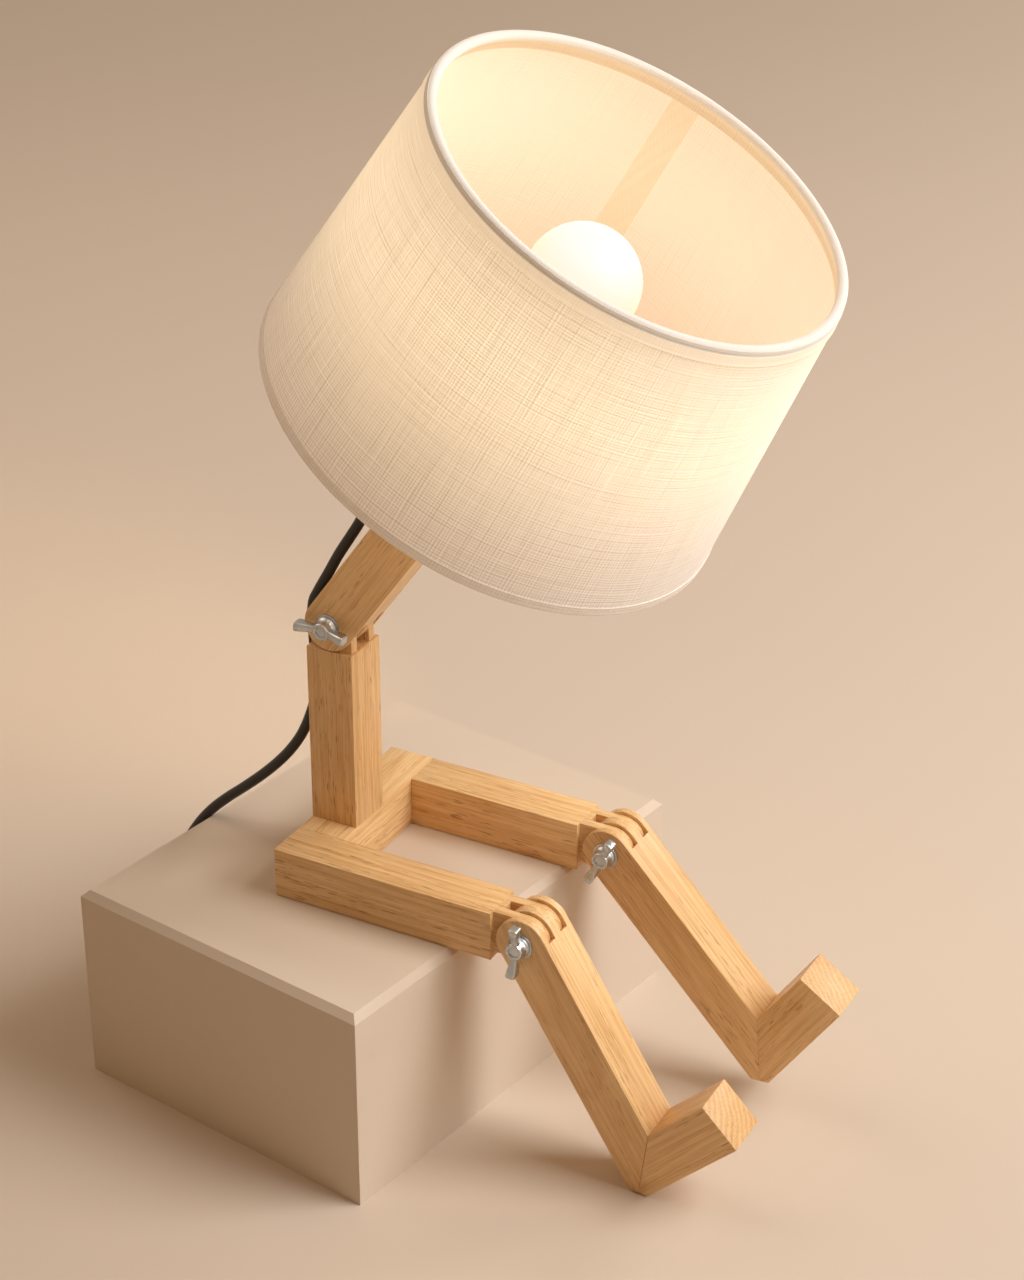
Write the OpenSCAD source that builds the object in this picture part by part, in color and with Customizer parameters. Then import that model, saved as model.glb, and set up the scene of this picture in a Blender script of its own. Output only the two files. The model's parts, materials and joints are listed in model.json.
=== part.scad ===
// Seated wooden desk lamp: a beech figure with a fabric drum shade for a head.
// X is forward, Y is to the lamp's left, Z is up, and the origin is on the
// underside of the seat, below the middle of the hip crossbar.

/* [Seat] */
// Overall width across the two thigh beams
seat_w = 130; // [110:1:160]
// Height of the seat beams
beam_h = 30; // [28:1:38]
// Width of each thigh beam
thigh_w = 27; // [25:1:34]
// Length of the right thigh, from the back of the seat to its shoulder
thigh_l = 138; // [110:1:180]
// Depth of the hip crossbar, front to back
crossbar_d = 29; // [26:1:36]
// Diameter of the glued dowels
dowel_d = 8; // [6:0.5:10]
// Length of the glued dowels
dowel_l = 36; // [24:1:44]
// Distance between the two dowels of a seat joint
dowel_pitch = 15; // [14.5:0.5:16]

/* [Post and arm] */
// Width of the post and of the arm, side to side
post_w = 30; // [29:0.5:36]
// Depth of the post, front to back
post_d = 29; // [27:0.5:36]
// Length of the post, from the seat to its shoulder
post_l = 110; // [80:1:160]
// Sideways offset of the post from the middle of the seat
post_off = -9; // [-16:0.5:16]
// Depth of the arm, front to back
arm_d = 30; // [28:0.5:36]
// Length of the arm, from its pivot to the seat of the lamp holder
arm_l = 162; // [150:1:200]
// Lean of the arm from upright
arm_tilt = 35.5; // [20:0.5:50]
// Lean of the shade from upright
shade_tilt = 30; // [20:0.5:45]
// Diameter of the screws that hold the post on the crossbar
screw_d = 5; // [4:0.5:6]
// Length of those screws
screw_l = 60; // [50:1:80]
// Distance between those screws
screw_pitch = 16; // [13:0.5:18]

/* [Legs] */
// Depth of the shins and the feet
shin_d = 30; // [28:0.5:36]
// Length of a shin, from the knee axis to the inner corner of the foot
shin_l = 126; // [100:1:160]
// Length of the foot's upper face
foot_l = 44; // [34:1:60]
// Turn of the foot from the line of the shin
foot_bend = 103; // [90:1:105]
// Width of the flat cut at the heel
heel_cut = 11; // [6:0.5:14]
// Drop of the right shin below the level of the seat
right_bend = 58.4; // [30:0.1:80]
// Drop of the left shin below the level of the seat
left_bend = 46.8; // [30:0.1:80]

/* [Knuckles] */
// Radius of the round tongues inside the knuckles
tongue_r = 13; // [12:0.25:13.5]
// Thickness of each outer prong of a knee
prong_t = 4.5; // [3.5:0.25:6]
// Width of each slot of a knee
knee_slot = 6.5; // [5.5:0.25:7.5]
// Thickness of the middle prong of a knee
mid_prong_t = 7; // [6:0.25:8]
// Thickness of each plate of the neck
neck_plate_t = 5.8; // [5:0.1:6.4]
// Width of the slot between the plates of the neck
neck_slot = 12.4; // [11:0.1:13]
// Room beside each tongue and plate in its slot
side_gap = 0.25; // [0.15:0.05:0.4]
// Room between a round knuckle end and what faces it
end_gap = 0.5; // [0.4:0.1:1]
// Distance from the thigh's shoulder to the rim of the knee
shoulder_gap = 4; // [3:0.25:6]
// Height of the knee axis above the middle of the seat beams
knee_rise = 1.5; // [0:0.25:2]
// Reach of the slots past the knuckle axis on their short side
slot_rise = 5.5; // [3:0.25:7]

/* [Bolts and wing nuts] */
// Diameter of the joint bolts
bolt_d = 6; // [5:0.5:7]
// Radial running clearance of bolts and pins
run_gap = 0.05; // [0.03:0.01:0.1]
// Diameter of the domed bolt heads
bolt_head_d = 15; // [12:0.5:18]
// Height of the domed bolt heads
bolt_head_h = 3.5; // [2.5:0.25:5]
// Diameter of the washers
washer_d = 15; // [13:0.5:18]
// Thickness of the washers
washer_t = 1.2; // [1:0.1:2]
// Span across the wings of a wing nut
wing_span = 32; // [28:0.5:36]
// Thickness of the wings
wing_t = 4; // [3:0.25:5]
// Height of the wing nut's boss
boss_h = 7.5; // [7:0.25:11]
// Diameter of the wing nut's boss at its base
boss_d = 13; // [11.5:0.25:15]

/* [Lamp holder] */
// Outer diameter of the holder
holder_d = 38; // [36:0.5:42]
// Height of the holder's base cup
cup_h = 20; // [18:0.5:24]
// Height of the holder's sleeve above the cup
sleeve_h = 32; // [30:0.5:36]
// Wall of the holder's cup and sleeve
holder_wall = 2; // [1.6:0.1:2.4]
// Diameter of the threaded tube that fixes the holder
nipple_d = 10; // [9:0.25:11]
// Length of the threaded tube inside the arm
nipple_depth = 10; // [8:0.5:11]
// Height of the shelf that carries the shade, above the arm's end
shelf_z = 33; // [30:0.5:36]

/* [Shade] */
// Radius of the shade at its lower edge
shade_r = 130; // [110:1:150]
// Radius of the shade at its upper edge
shade_top_r = 114; // [95:1:130]
// Height of the shade along its axis
shade_h = 165; // [140:1:190]
// Distance of the lower edge from the arm's end
shade_lift = 2; // [0:0.5:8]
// Thickness of the linen
linen_t = 0.7; // [0.4:0.05:1]
// Thickness of the stiff liner
liner_t = 0.8; // [0.5:0.05:1.2]
// Wire diameter of the shade's rings and spider
wire_d = 3; // [2.5:0.1:3.6]
// Radius of the rolled bead on the upper edge
top_bead_r = 3.2; // [3.1:0.05:3.6]
// Radius of the rolled bead on the lower edge
low_bead_r = 3.1; // [3.1:0.05:3.5]
// Height of the folded hem below the upper bead
hem_h = 8; // [5:0.5:12]
// Arc of the overlap seam inside the shade
seam_arc = 8; // [5:0.5:12]
// Place of the overlap seam round the shade, from the front
seam_at = 100; // [0:1:350]

/* [Bulb] */
// Radius of the globe
globe_r = 30; // [27:0.5:34]
// Radius of the screw cap
cap_r = 13.1; // [12.5:0.05:13.2]
// Height of the globe's middle above the centre contact
globe_z = 76; // [70:1:84]

/* [Cord] */
// Diameter of the cord
cord_d = 6.2; // [5.5:0.1:6.6]
// Distance of the cord's lane on the floor behind the seat
lane_x = -111; // [-130:1:-105]
// Place of the switch along the lane
switch_y = 16; // [10:1:16]
// Place of the coil's centre along the lane
coil_y = 110; // [108:1:120]
// Turns of the coil in each of its two layers
coil_turns = 2.25; // [1.25:1:2.25]
// Free room between neighbouring turns of the coil
coil_gap = 0.6; // [0.5:0.05:1]
// Length of the switch
switch_l = 62; // [58:1:70]
// Width of the switch
switch_w = 24; // [22:0.5:28]
// Thickness of the switch
switch_h = 15; // [14:0.5:18]
// Throw of the rocker from one stop to the other
rocker_throw = 16; // [10:1:16]
// Length of the tapered sleeves on the cord
sleeve_l = 20; // [16:1:30]
// Width of the plug at its pins
plug_w = 35; // [32:0.5:38]
// Length of the plug's body
plug_l = 36; // [32:0.5:44]
// Thickness of the plug's body
plug_t = 14; // [12:0.5:16]

/* [Hidden] */
$fn = 64;

// Colours as photographed
beech = [0.80, 0.58, 0.36];
beech_end = [0.72, 0.52, 0.34];
zinc = [0.72, 0.74, 0.75];
brass = [0.78, 0.62, 0.33];
black = [0.06, 0.06, 0.06];
white = [0.93, 0.91, 0.87];
linen_white = [0.90, 0.86, 0.79];
opal = [1.0, 0.95, 0.82];

// Overlap of joined shapes, and overshoot of cuts
lap = 1;
// Close fit between pieces of one assembly
fit = 0.05;

// Seat and legs
right = -1;
left = 1;
leg_y = seat_w / 2 - thigh_w / 2;
seat_back = -crossbar_d / 2;
thigh_front = seat_back + thigh_l;
knee_x = thigh_front + shoulder_gap + shin_d / 2;
seat_mid = beam_h / 2;
knee_z = seat_mid + knee_rise;
shin_w = 2 * prong_t + 2 * knee_slot + mid_prong_t;
knee_tongue_t = knee_slot - 2 * side_gap;
knee_tongues_w = mid_prong_t + 2 * side_gap + 2 * knee_tongue_t;
function bend_of(side) = side == right ? right_bend : left_bend;

// Foot joint, in the plane of the shin: X runs down the shin, Y to its front
mitre_half = (180 - foot_bend) / 2;
foot_dir = [cos(foot_bend), sin(foot_bend)];
sole_dir = [sin(foot_bend), -cos(foot_bend)];
instep = [shin_l, shin_d / 2];
heel = [shin_l + shin_d / tan(mitre_half), -shin_d / 2];
heel_side = heel_cut / 2 / sin(mitre_half);
heel_back = heel - [heel_side, 0];
heel_sole = heel + heel_side * foot_dir;
heel_mitre = (heel_back + heel_sole) / 2;
toe_top = instep + foot_l * foot_dir;
toe_low = toe_top + shin_d * sole_dir;
mitre_mid = (instep + heel_mitre) / 2;
mitre_turn = atan2(heel[1] - instep[1], heel[0] - instep[0]);
foot_dowel_l = 26;

// The level of the right heel is the surface that the cord lies on
function drop(p) = p[1] * cos(right_bend) - p[0] * sin(right_bend);
floor_z = knee_z + min(drop(heel_back), drop(heel_sole));

// Neck
shoulder_z = beam_h + post_l;
pivot_z = shoulder_z + end_gap + arm_d / 2;
neck_w = neck_slot + 2 * neck_plate_t;
neck_plate_y = (neck_slot + neck_plate_t) / 2;
screw_head_d = 2 * screw_d;
screw_recess = 0.6;

// Bolts and nuts
bolt_hole_d = bolt_d + 2 * run_gap;
bolt_tail = washer_t + boss_h - 0.6;
nut_gap = 0.05;
boss_top_d = 10;
wing_root_z = 1.5;
wing_tip_r = 3.4;
wing_tip_z = boss_h - 0.5;
// Turn of each wing nut, up from level
neck_nut_turn = -5;
right_nut_turn = 87;
left_nut_turn = 64;

// Lamp holder, with heights above the end of the arm
cup_floor = 2.5;
insert_z = 12;
insert_h = 14;
insert_r = holder_d / 2 - holder_wall - fit;
chamber_r = insert_r - 2.2;
contact_z = insert_z + insert_h;
contact_t = 1.4;
contact_r = 4;
screw_shell_r = 15;
screw_shell_h = 20;
shell_wall = 1.3;
shelf_h = 3;
shelf_r = holder_d / 2 + 4;
nut_af = 14;
nut_h = 4;
nipple_wall = 1.3;
terminal_y = 9;
terminal_d = 3;
terminal_head_d = 6;
terminal_head_h = 2;
terminal_l = 10;
fitter_t = 1.5;
fitter_r = 29;
clamp_h = 6;
clamp_r = 27;
clamp_grip_r = 1.6;
clamp_grips = 16;

// Shade, with radii and heights along its own axis
shade_z = shade_lift;
shade_top = shade_z + shade_h;
wall_t = linen_t + liner_t + fit;
ring_gap = 0.1;
binding_t = 0.5;
function shade_at(z) = shade_r + (shade_top_r - shade_r) * (z - shade_z) / shade_h;
top_wire_r = shade_at(shade_top) - wall_t - ring_gap - wire_d / 2;
top_wire_z = shade_top - wire_d / 2;
low_wire_z = shade_z + wire_d / 2;
low_wire_r = shade_at(shade_z + wire_d) - wall_t - ring_gap - wire_d / 2;
spider_arms = 3;
spider_z = shelf_z + shelf_h + fitter_t / 2;
spider_in_r = fitter_r - wire_d / 2;
spider_l = norm([low_wire_r - spider_in_r, spider_z - low_wire_z]);
spider_turn = atan2(low_wire_r - spider_in_r, low_wire_z - spider_z);
seam_t = 0.3;
seam_gap = 0.3;
seam_inset = 9;

// Bulb, with heights above the end of the arm
tip_z = contact_z + contact_t;
tip_h = 4;
cap_z = tip_z + tip_h;
cap_h = 22;
cap_wall = 1;
cap_pitch = 3.6;
cap_groove = 0.9;
globe_mid = tip_z + globe_z;
globe_neck_r = cap_r + 0.3;
globe_wall = 1.2;
globe_neck_z = cap_z + cap_h;
globe_steps = 14;

// Cord entry in the arm
channel_d = 9;
channel_turn = 30;
channel_l = 32;
bushing_out = 22;
bushing_in = 12;
bushing_end_d = cord_d + 1;
bore_depth = nipple_depth + 2;

// Switch, coil and plug
cord_r = cord_d / 2;
switch_z = floor_z + switch_h / 2;
switch_wall = 2;
switch_corner = 5;
switch_screw_x = 7.5;
switch_screw_y = 21;
switch_screw_d = 2.5;
switch_boss_d = 6;
rocker_l = 19;
rocker_w = 11.6;
rocker_gap = 0.6;
rocker_axle_d = 2.4;
rocker_axle_out = 1.4;
rocker_z = switch_h / 2 - 3;
rocker_lug_t = 2.4;
sleeve_d = 10;
sleeve_tip_d = cord_d + 1;
coil_step = cord_d + coil_gap;
coil_in_r = 4.15 * cord_d;
coil_out_r = coil_in_r + coil_turns * coil_step;
coil_dip = 1.2;
coil_x = lane_x - coil_out_r;
tie_t = 1;
tie_gap = 0.5;
tie_w = 12;
coil_z = floor_z + tie_t + tie_gap + cord_r;
coil_end = 720 * coil_turns + 180;
tail_l = 46;
plug_y = coil_y + tail_l + sleeve_l;
plug_z = floor_z + plug_t / 2;
plug_back_w = 14;
pin_d = 4;
pin_l = 19;
pin_seat = 8;
pin_pitch = 18.6;

// Frames of the moving sub-assemblies
module at_arm() {
    translate([0, post_off, pivot_z]) rotate([0, arm_tilt, 0]) children();
}
module at_holder() {
    at_arm() translate([0, 0, arm_l]) rotate([0, shade_tilt - arm_tilt, 0]) children();
}
module at_leg(side) {
    translate([knee_x, side * leg_y, knee_z]) rotate([0, bend_of(side), 0]) children();
}
module at_channel() {
    at_holder() translate([0, 0, -bore_depth]) rotate([0, arm_tilt - shade_tilt, 0])
        rotate([0, 180 + channel_turn, 0]) children();
}
module at_switch() {
    translate([lane_x, switch_y, switch_z]) children();
}
module at_plug() {
    translate([lane_x, plug_y, plug_z]) children();
}

// Box between two corners
module block(low, high) {
    translate(low) cube(high - low);
}
// Cylinder along Y, centred
module pin_y(d, l) {
    rotate([90, 0, 0]) cylinder(d = d, h = l, center = true);
}
// Outline in the X-Z plane carried across a width, centred on Y
module across(w) {
    rotate([90, 0, 0]) linear_extrude(w, center = true) children();
}
// Round tube along Z
module tube_z(r, bore, h) {
    difference() {
        cylinder(r = r, h = h);
        translate([0, 0, -lap]) cylinder(r = bore, h = h + 2 * lap);
    }
}
// Room for a round tongue in a fork that opens towards -X; deep is the sign of
// the side where the neck of the tongue swings through
module knuckle_slot(deep, depth) {
    room = tongue_r + end_gap;
    circle(r = room);
    translate([-depth, -depth / 2 - lap]) square([depth, depth + 2 * lap]);
    mirror([0, deep < 0 ? 1 : 0]) {
        translate([-lap, 0]) square([lap + room, depth / 2 + lap]);
        translate([-lap, -depth / 2 - lap]) square([lap + slot_rise, depth / 2 + lap]);
    }
}

// Seat
module right_seat_dowels(d, l) {
    for (s = [-1, 1])
        translate([s * dowel_pitch / 2, thigh_w - seat_w / 2, seat_mid]) pin_y(d, l);
}
module left_seat_dowels(d, l) {
    for (s = [-1, 1])
        translate([crossbar_d / 2, leg_y + s * dowel_pitch / 2, seat_mid])
            rotate([0, 90, 0]) cylinder(d = d, h = l, center = true);
}
module dowel_holes() {
    right_seat_dowels(dowel_d + 2 * fit, dowel_l + lap);
    left_seat_dowels(dowel_d + 2 * fit, dowel_l + lap);
}
// Countersunk wood screw pointing up from the origin
module wood_screw(d, head_d, l, grow) {
    rotate_extrude() polygon([
        [0, 0], [head_d / 2 + grow, 0], [d / 2 + grow, (head_d - d) / 2],
        [d / 2 + grow, l - d + grow], [0, l + grow]
    ]);
}
module at_post_screws() {
    for (s = [-1, 1]) translate([0, post_off + s * screw_pitch / 2, screw_recess]) children();
}
module post_screw_holes() {
    at_post_screws() {
        wood_screw(screw_d, screw_head_d, screw_l, fit);
        translate([0, 0, -lap]) cylinder(d = screw_head_d + 2 * fit, h = lap);
    }
}
module hip_crossbar() color(beech) difference() {
    block([seat_back, thigh_w - seat_w / 2, 0], [crossbar_d / 2, seat_w / 2, beam_h]);
    dowel_holes();
    post_screw_holes();
}
module thigh(side, back) {
    difference() {
        translate([0, side * leg_y, 0]) {
            block([back, -thigh_w / 2, 0], [thigh_front, thigh_w / 2, beam_h]);
            block([thigh_front - lap, -knee_tongues_w / 2, knee_z - tongue_r],
                  [knee_x, knee_tongues_w / 2, knee_z + tongue_r]);
            translate([knee_x, 0, knee_z]) pin_y(2 * tongue_r, knee_tongues_w);
        }
        slot_y = mid_prong_t / 2 + side_gap;
        translate([knee_x, side * leg_y, knee_z]) {
            block([-shin_d / 2 - end_gap, -slot_y, -tongue_r - lap],
                  [tongue_r + lap, slot_y, tongue_r + lap]);
            pin_y(bolt_hole_d, shin_w);
        }
        dowel_holes();
    }
}
module right_thigh() color(beech) thigh(right, seat_back);
module left_thigh() color(beech) thigh(left, crossbar_d / 2);
module seat_dowels() color(beech_end) {
    right_seat_dowels(dowel_d, dowel_l);
    left_seat_dowels(dowel_d, dowel_l);
}
module torso_post() color(beech) difference() {
    union() {
        translate([0, post_off, 0]) {
            block([-post_d / 2, -post_w / 2, beam_h], [post_d / 2, post_w / 2, shoulder_z]);
            block([-tongue_r, -neck_w / 2, shoulder_z - lap], [tongue_r, neck_w / 2, pivot_z]);
            translate([0, 0, pivot_z]) pin_y(2 * tongue_r, neck_w);
        }
    }
    translate([0, post_off, pivot_z]) {
        block([-post_d, -neck_slot / 2, -arm_d / 2 - end_gap],
              [post_d, neck_slot / 2, tongue_r + lap]);
        pin_y(bolt_hole_d, post_w);
    }
    post_screw_holes();
}
module post_screws() color(zinc) at_post_screws() wood_screw(screw_d, screw_head_d, screw_l, 0);

// Arm
module neck_arm() color(beech) difference() {
    at_arm() difference() {
        union() {
            pin_y(arm_d, post_w);
            block([-arm_d / 2, -post_w / 2, 0], [arm_d / 2, post_w / 2, arm_l + arm_d / 2]);
        }
        for (s = [-1, 1])
            translate([0, s * neck_plate_y, 0]) rotate([0, -90, 0])
                across(neck_plate_t + 2 * side_gap) knuckle_slot(-1, arm_d);
        pin_y(bolt_hole_d, post_w + lap);
    }
    at_holder() {
        block([-arm_l, -arm_l, 0], [arm_l, arm_l, arm_l]);
        translate([0, 0, -bore_depth]) cylinder(r = nipple_d / 2 + fit, h = bore_depth + lap);
    }
    at_channel() translate([0, 0, -lap]) cylinder(d = channel_d, h = 2 * channel_l);
}

// Legs
module shin_outline() {
    polygon([[0, shin_d / 2], instep, heel_mitre, heel_back, [0, -shin_d / 2]]);
}
module foot_outline() {
    polygon([instep, toe_top, toe_low, heel_sole, heel_mitre]);
}
module foot_dowel(d, l) {
    translate([mitre_mid[0], 0, mitre_mid[1]]) rotate([0, -mitre_turn, 0])
        cylinder(d = d, h = l, center = true);
}
module shin(side) at_leg(side) difference() {
    union() {
        pin_y(shin_d, shin_w);
        across(shin_w) shin_outline();
    }
    for (s = [-1, 1])
        translate([0, s * (mid_prong_t + knee_slot) / 2, 0])
            across(knee_slot) knuckle_slot(-1, shin_d);
    pin_y(bolt_hole_d, shin_w + lap);
    foot_dowel(dowel_d + 2 * fit, foot_dowel_l + lap);
}
module foot(side) at_leg(side) difference() {
    across(shin_w) foot_outline();
    foot_dowel(dowel_d + 2 * fit, foot_dowel_l + lap);
}
module right_shin() color(beech) shin(right);
module left_shin() color(beech) shin(left);
module right_foot() color(beech) foot(right);
module left_foot() color(beech) foot(left);
module right_foot_dowel() color(beech_end) at_leg(right) foot_dowel(dowel_d, foot_dowel_l);
module left_foot_dowel() color(beech_end) at_leg(left) foot_dowel(dowel_d, foot_dowel_l);

// Joint hardware; the heads are on the left of each joint and the nuts on the right
module dome(d, h) {
    big_r = (d * d / 4 + h * h) / (2 * h);
    intersection() {
        translate([0, 0, h - big_r]) sphere(r = big_r);
        cylinder(d = d + lap, h = h + lap);
    }
}
module joint_bolt(w) color(zinc) {
    tail = w / 2 + bolt_tail;
    rotate([-90, 0, 0]) {
        translate([0, 0, -tail]) cylinder(d = bolt_d, h = tail + w / 2 + lap);
        translate([0, 0, w / 2]) dome(bolt_head_d, bolt_head_h);
    }
}
module joint_washer(w) color(zinc) {
    translate([0, -w / 2, 0]) rotate([90, 0, 0])
        tube_z(washer_d / 2, bolt_d / 2 + run_gap, washer_t);
}
module wing() {
    tip_x = wing_span / 2 - wing_tip_r;
    across(wing_t) {
        translate([tip_x, wing_tip_z]) circle(r = wing_tip_r);
        polygon([
            [boss_d / 4, wing_root_z], [boss_d / 2, wing_root_z],
            [tip_x + wing_tip_r * sin(50), wing_tip_z - wing_tip_r * cos(50)],
            [tip_x - wing_tip_r * sin(30), wing_tip_z + wing_tip_r * cos(30)],
            [boss_d / 4, boss_h - wing_root_z]
        ]);
    }
}
module wing_nut(w, turn) color(zinc) {
    translate([0, -w / 2 - washer_t - nut_gap, 0]) rotate([0, -turn, 0]) rotate([90, 0, 0])
        difference() {
            union() {
                cylinder(d1 = boss_d, d2 = boss_top_d, h = boss_h);
                wing();
                mirror([1, 0, 0]) wing();
            }
            translate([0, 0, -lap]) cylinder(r = bolt_d / 2 + run_gap, h = boss_h + 2 * lap);
        }
}
module neck_bolt() translate([0, post_off, pivot_z]) joint_bolt(post_w);
module neck_washer() translate([0, post_off, pivot_z]) joint_washer(post_w);
module neck_wing_nut() translate([0, post_off, pivot_z]) wing_nut(post_w, neck_nut_turn);
module at_knee(side) {
    translate([knee_x, side * leg_y, knee_z]) children();
}
module right_knee_bolt() at_knee(right) joint_bolt(shin_w);
module right_knee_washer() at_knee(right) joint_washer(shin_w);
module right_knee_wing_nut() at_knee(right) wing_nut(shin_w, right_nut_turn);
module left_knee_bolt() at_knee(left) joint_bolt(shin_w);
module left_knee_washer() at_knee(left) joint_washer(shin_w);
module left_knee_wing_nut() at_knee(left) wing_nut(shin_w, left_nut_turn);

// Lamp holder
module holder_nipple() color(brass) at_holder() translate([0, 0, -nipple_depth])
    tube_z(nipple_d / 2, nipple_d / 2 - nipple_wall, nipple_depth + cup_floor + nut_h + lap);
module holder_nut() color(zinc) at_holder() translate([0, 0, cup_floor]) difference() {
    cylinder(d = nut_af / cos(30), h = nut_h, $fn = 6);
    translate([0, 0, -lap]) cylinder(r = nipple_d / 2 + fit, h = nut_h + 2 * lap);
}
module holder_cup() color(black) at_holder() rotate_extrude() polygon([
    [nipple_d / 2 + fit, 0], [holder_d / 2, 0], [holder_d / 2, cup_h],
    [insert_r + fit, cup_h], [insert_r + fit, insert_z], [chamber_r, insert_z],
    [chamber_r, cup_floor], [nipple_d / 2 + fit, cup_floor]
]);
module at_terminals() {
    for (s = [-1, 1]) translate([0, s * terminal_y, insert_z - terminal_head_h]) children();
}
module holder_insert() color(white) at_holder() difference() {
    translate([0, 0, insert_z]) cylinder(r = insert_r, h = insert_h);
    at_terminals() cylinder(d = terminal_d + 2 * fit, h = terminal_l + lap);
}
module terminal_screws() color(brass) at_holder() at_terminals() {
    cylinder(d = terminal_head_d, h = terminal_head_h);
    cylinder(d = terminal_d, h = terminal_l);
}
module centre_contact() color(brass) at_holder() translate([0, 0, contact_z])
    cylinder(r = contact_r, h = contact_t);
module screw_shell() color(brass) at_holder() translate([0, 0, contact_z])
    tube_z(screw_shell_r, screw_shell_r - shell_wall, screw_shell_h);
module holder_sleeve() color(black) at_holder() rotate_extrude() polygon([
    [insert_r + fit, cup_h], [holder_d / 2, cup_h], [holder_d / 2, shelf_z],
    [shelf_r, shelf_z], [shelf_r, shelf_z + shelf_h], [holder_d / 2, shelf_z + shelf_h],
    [holder_d / 2, cup_h + sleeve_h], [insert_r + fit, cup_h + sleeve_h]
]);

// Shade
module fitter_ring() color(white) at_holder() translate([0, 0, shelf_z + shelf_h])
    tube_z(fitter_r, holder_d / 2 + fit, fitter_t);
module fitter_arms() color(white) at_holder()
    for (i = [0 : spider_arms - 1]) rotate([0, 0, i * 360 / spider_arms])
        translate([spider_in_r, 0, spider_z]) rotate([0, spider_turn, 0])
            cylinder(d = wire_d, h = spider_l);
module shade_clamp_ring() color(black) at_holder()
    translate([0, 0, shelf_z + shelf_h + fitter_t]) difference() {
        tube_z(clamp_r, holder_d / 2 + fit, clamp_h);
        for (i = [0 : clamp_grips - 1]) rotate([0, 0, i * 360 / clamp_grips])
            translate([clamp_r, 0, -lap]) cylinder(r = clamp_grip_r, h = clamp_h + 2 * lap);
    }
module wire_ring(r, z) {
    rotate_extrude() translate([r, z]) circle(d = wire_d);
}
module low_wire_ring() color(white) at_holder() wire_ring(low_wire_r, low_wire_z);
module top_wire_ring() color(white) at_holder() wire_ring(top_wire_r, top_wire_z);
// Band of the shade's wall between two depths from its face and two heights
module wall_outline(out, t, z0, z1) {
    polygon([
        [shade_at(z0) - out - t, z0], [shade_at(z0) - out, z0],
        [shade_at(z1) - out, z1], [shade_at(z1) - out - t, z1]
    ]);
}
module shade_liner() color(white) at_holder() rotate_extrude()
    wall_outline(linen_t + fit, liner_t, shade_z, shade_top);
module shade_linen() color(linen_white) at_holder() rotate_extrude()
    wall_outline(0, linen_t, shade_z, shade_top);
module seam_strip() color(linen_white) at_holder()
    rotate([0, 0, seam_at]) rotate_extrude(angle = seam_arc)
        wall_outline(wall_t + seam_gap, seam_t, shade_z + seam_inset, shade_top - seam_inset);
// Rolled bead over one edge of the shade and its wire ring
module binding(edge_z, wire_r, bead_r, inward) {
    out_r = shade_at(edge_z) + fit;
    in_r = wire_r - wire_d / 2 - fit;
    mid_r = (out_r + in_r) / 2;
    mid_z = edge_z + inward * wire_d / 2;
    deep_z = edge_z + inward * (wire_d / 2 + 2 * bead_r);
    difference() {
        translate([mid_r, mid_z]) circle(r = bead_r);
        polygon([
            [in_r, edge_z - inward * fit], [out_r, edge_z - inward * fit],
            [shade_at(deep_z) + fit, deep_z], [in_r, deep_z]
        ]);
    }
}
module top_binding() color(white) at_holder() rotate_extrude() {
    binding(shade_top, top_wire_r, top_bead_r, -1);
    wall_outline(-fit - binding_t, binding_t, shade_top - hem_h, shade_top);
}
module low_binding() color(linen_white) at_holder() rotate_extrude()
    binding(shade_z, low_wire_r, low_bead_r, 1);

// Bulb
function globe_at(s) = [
    globe_neck_r + (globe_r - globe_neck_r) * s * s * (3 - 2 * s),
    globe_neck_z + (globe_mid - globe_neck_z) * s
];
globe_flare = [for (i = [0 : globe_steps]) globe_at(i / globe_steps)];
globe_crown = [for (i = [1 : globe_steps])
    [globe_r * cos(90 * i / globe_steps), globe_mid + globe_r * sin(90 * i / globe_steps)]];
globe_outer = concat(globe_flare, globe_crown);
globe_shrink = (globe_r - globe_wall) / globe_r;
globe_inner = [for (i = [len(globe_outer) - 1 : -1 : 0])
    [globe_outer[i][0] * globe_shrink,
     max(globe_neck_z, globe_mid + (globe_outer[i][1] - globe_mid) * globe_shrink)]];
module bulb_globe() color(opal) at_holder() rotate_extrude()
    polygon(concat([for (p = globe_outer) p], [for (p = globe_inner) p],
                   [[globe_neck_r * globe_shrink, globe_neck_z]]));
cap_waves = floor((cap_h - cap_pitch) / cap_pitch);
cap_outline = [for (i = [0 : cap_waves - 1], half = [0, 1])
    [cap_r - (half == 0 ? cap_groove : 0), cap_z + cap_pitch * (i + 0.5 + half / 2)]];
module bulb_cap() color(zinc) at_holder() rotate_extrude() polygon(concat(
    [[cap_r - cap_groove - cap_wall, cap_z], [cap_r - cap_groove, cap_z]], cap_outline,
    [[cap_r, cap_z + cap_h], [cap_r - cap_groove - cap_wall, cap_z + cap_h]]));
module bulb_tip() color(black) at_holder()
    translate([0, 0, tip_z]) cylinder(r1 = contact_r, r2 = cap_r - cap_groove, h = tip_h);

// Cord entry
module cord_bushing() color(black) at_channel() rotate_extrude() polygon([
    [cord_r + fit, channel_l - bushing_in], [channel_d / 2 - fit, channel_l - bushing_in],
    [channel_d / 2 - fit, channel_l + lap], [bushing_end_d / 2, channel_l + bushing_out],
    [cord_r + fit, channel_l + bushing_out]
]);

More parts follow.
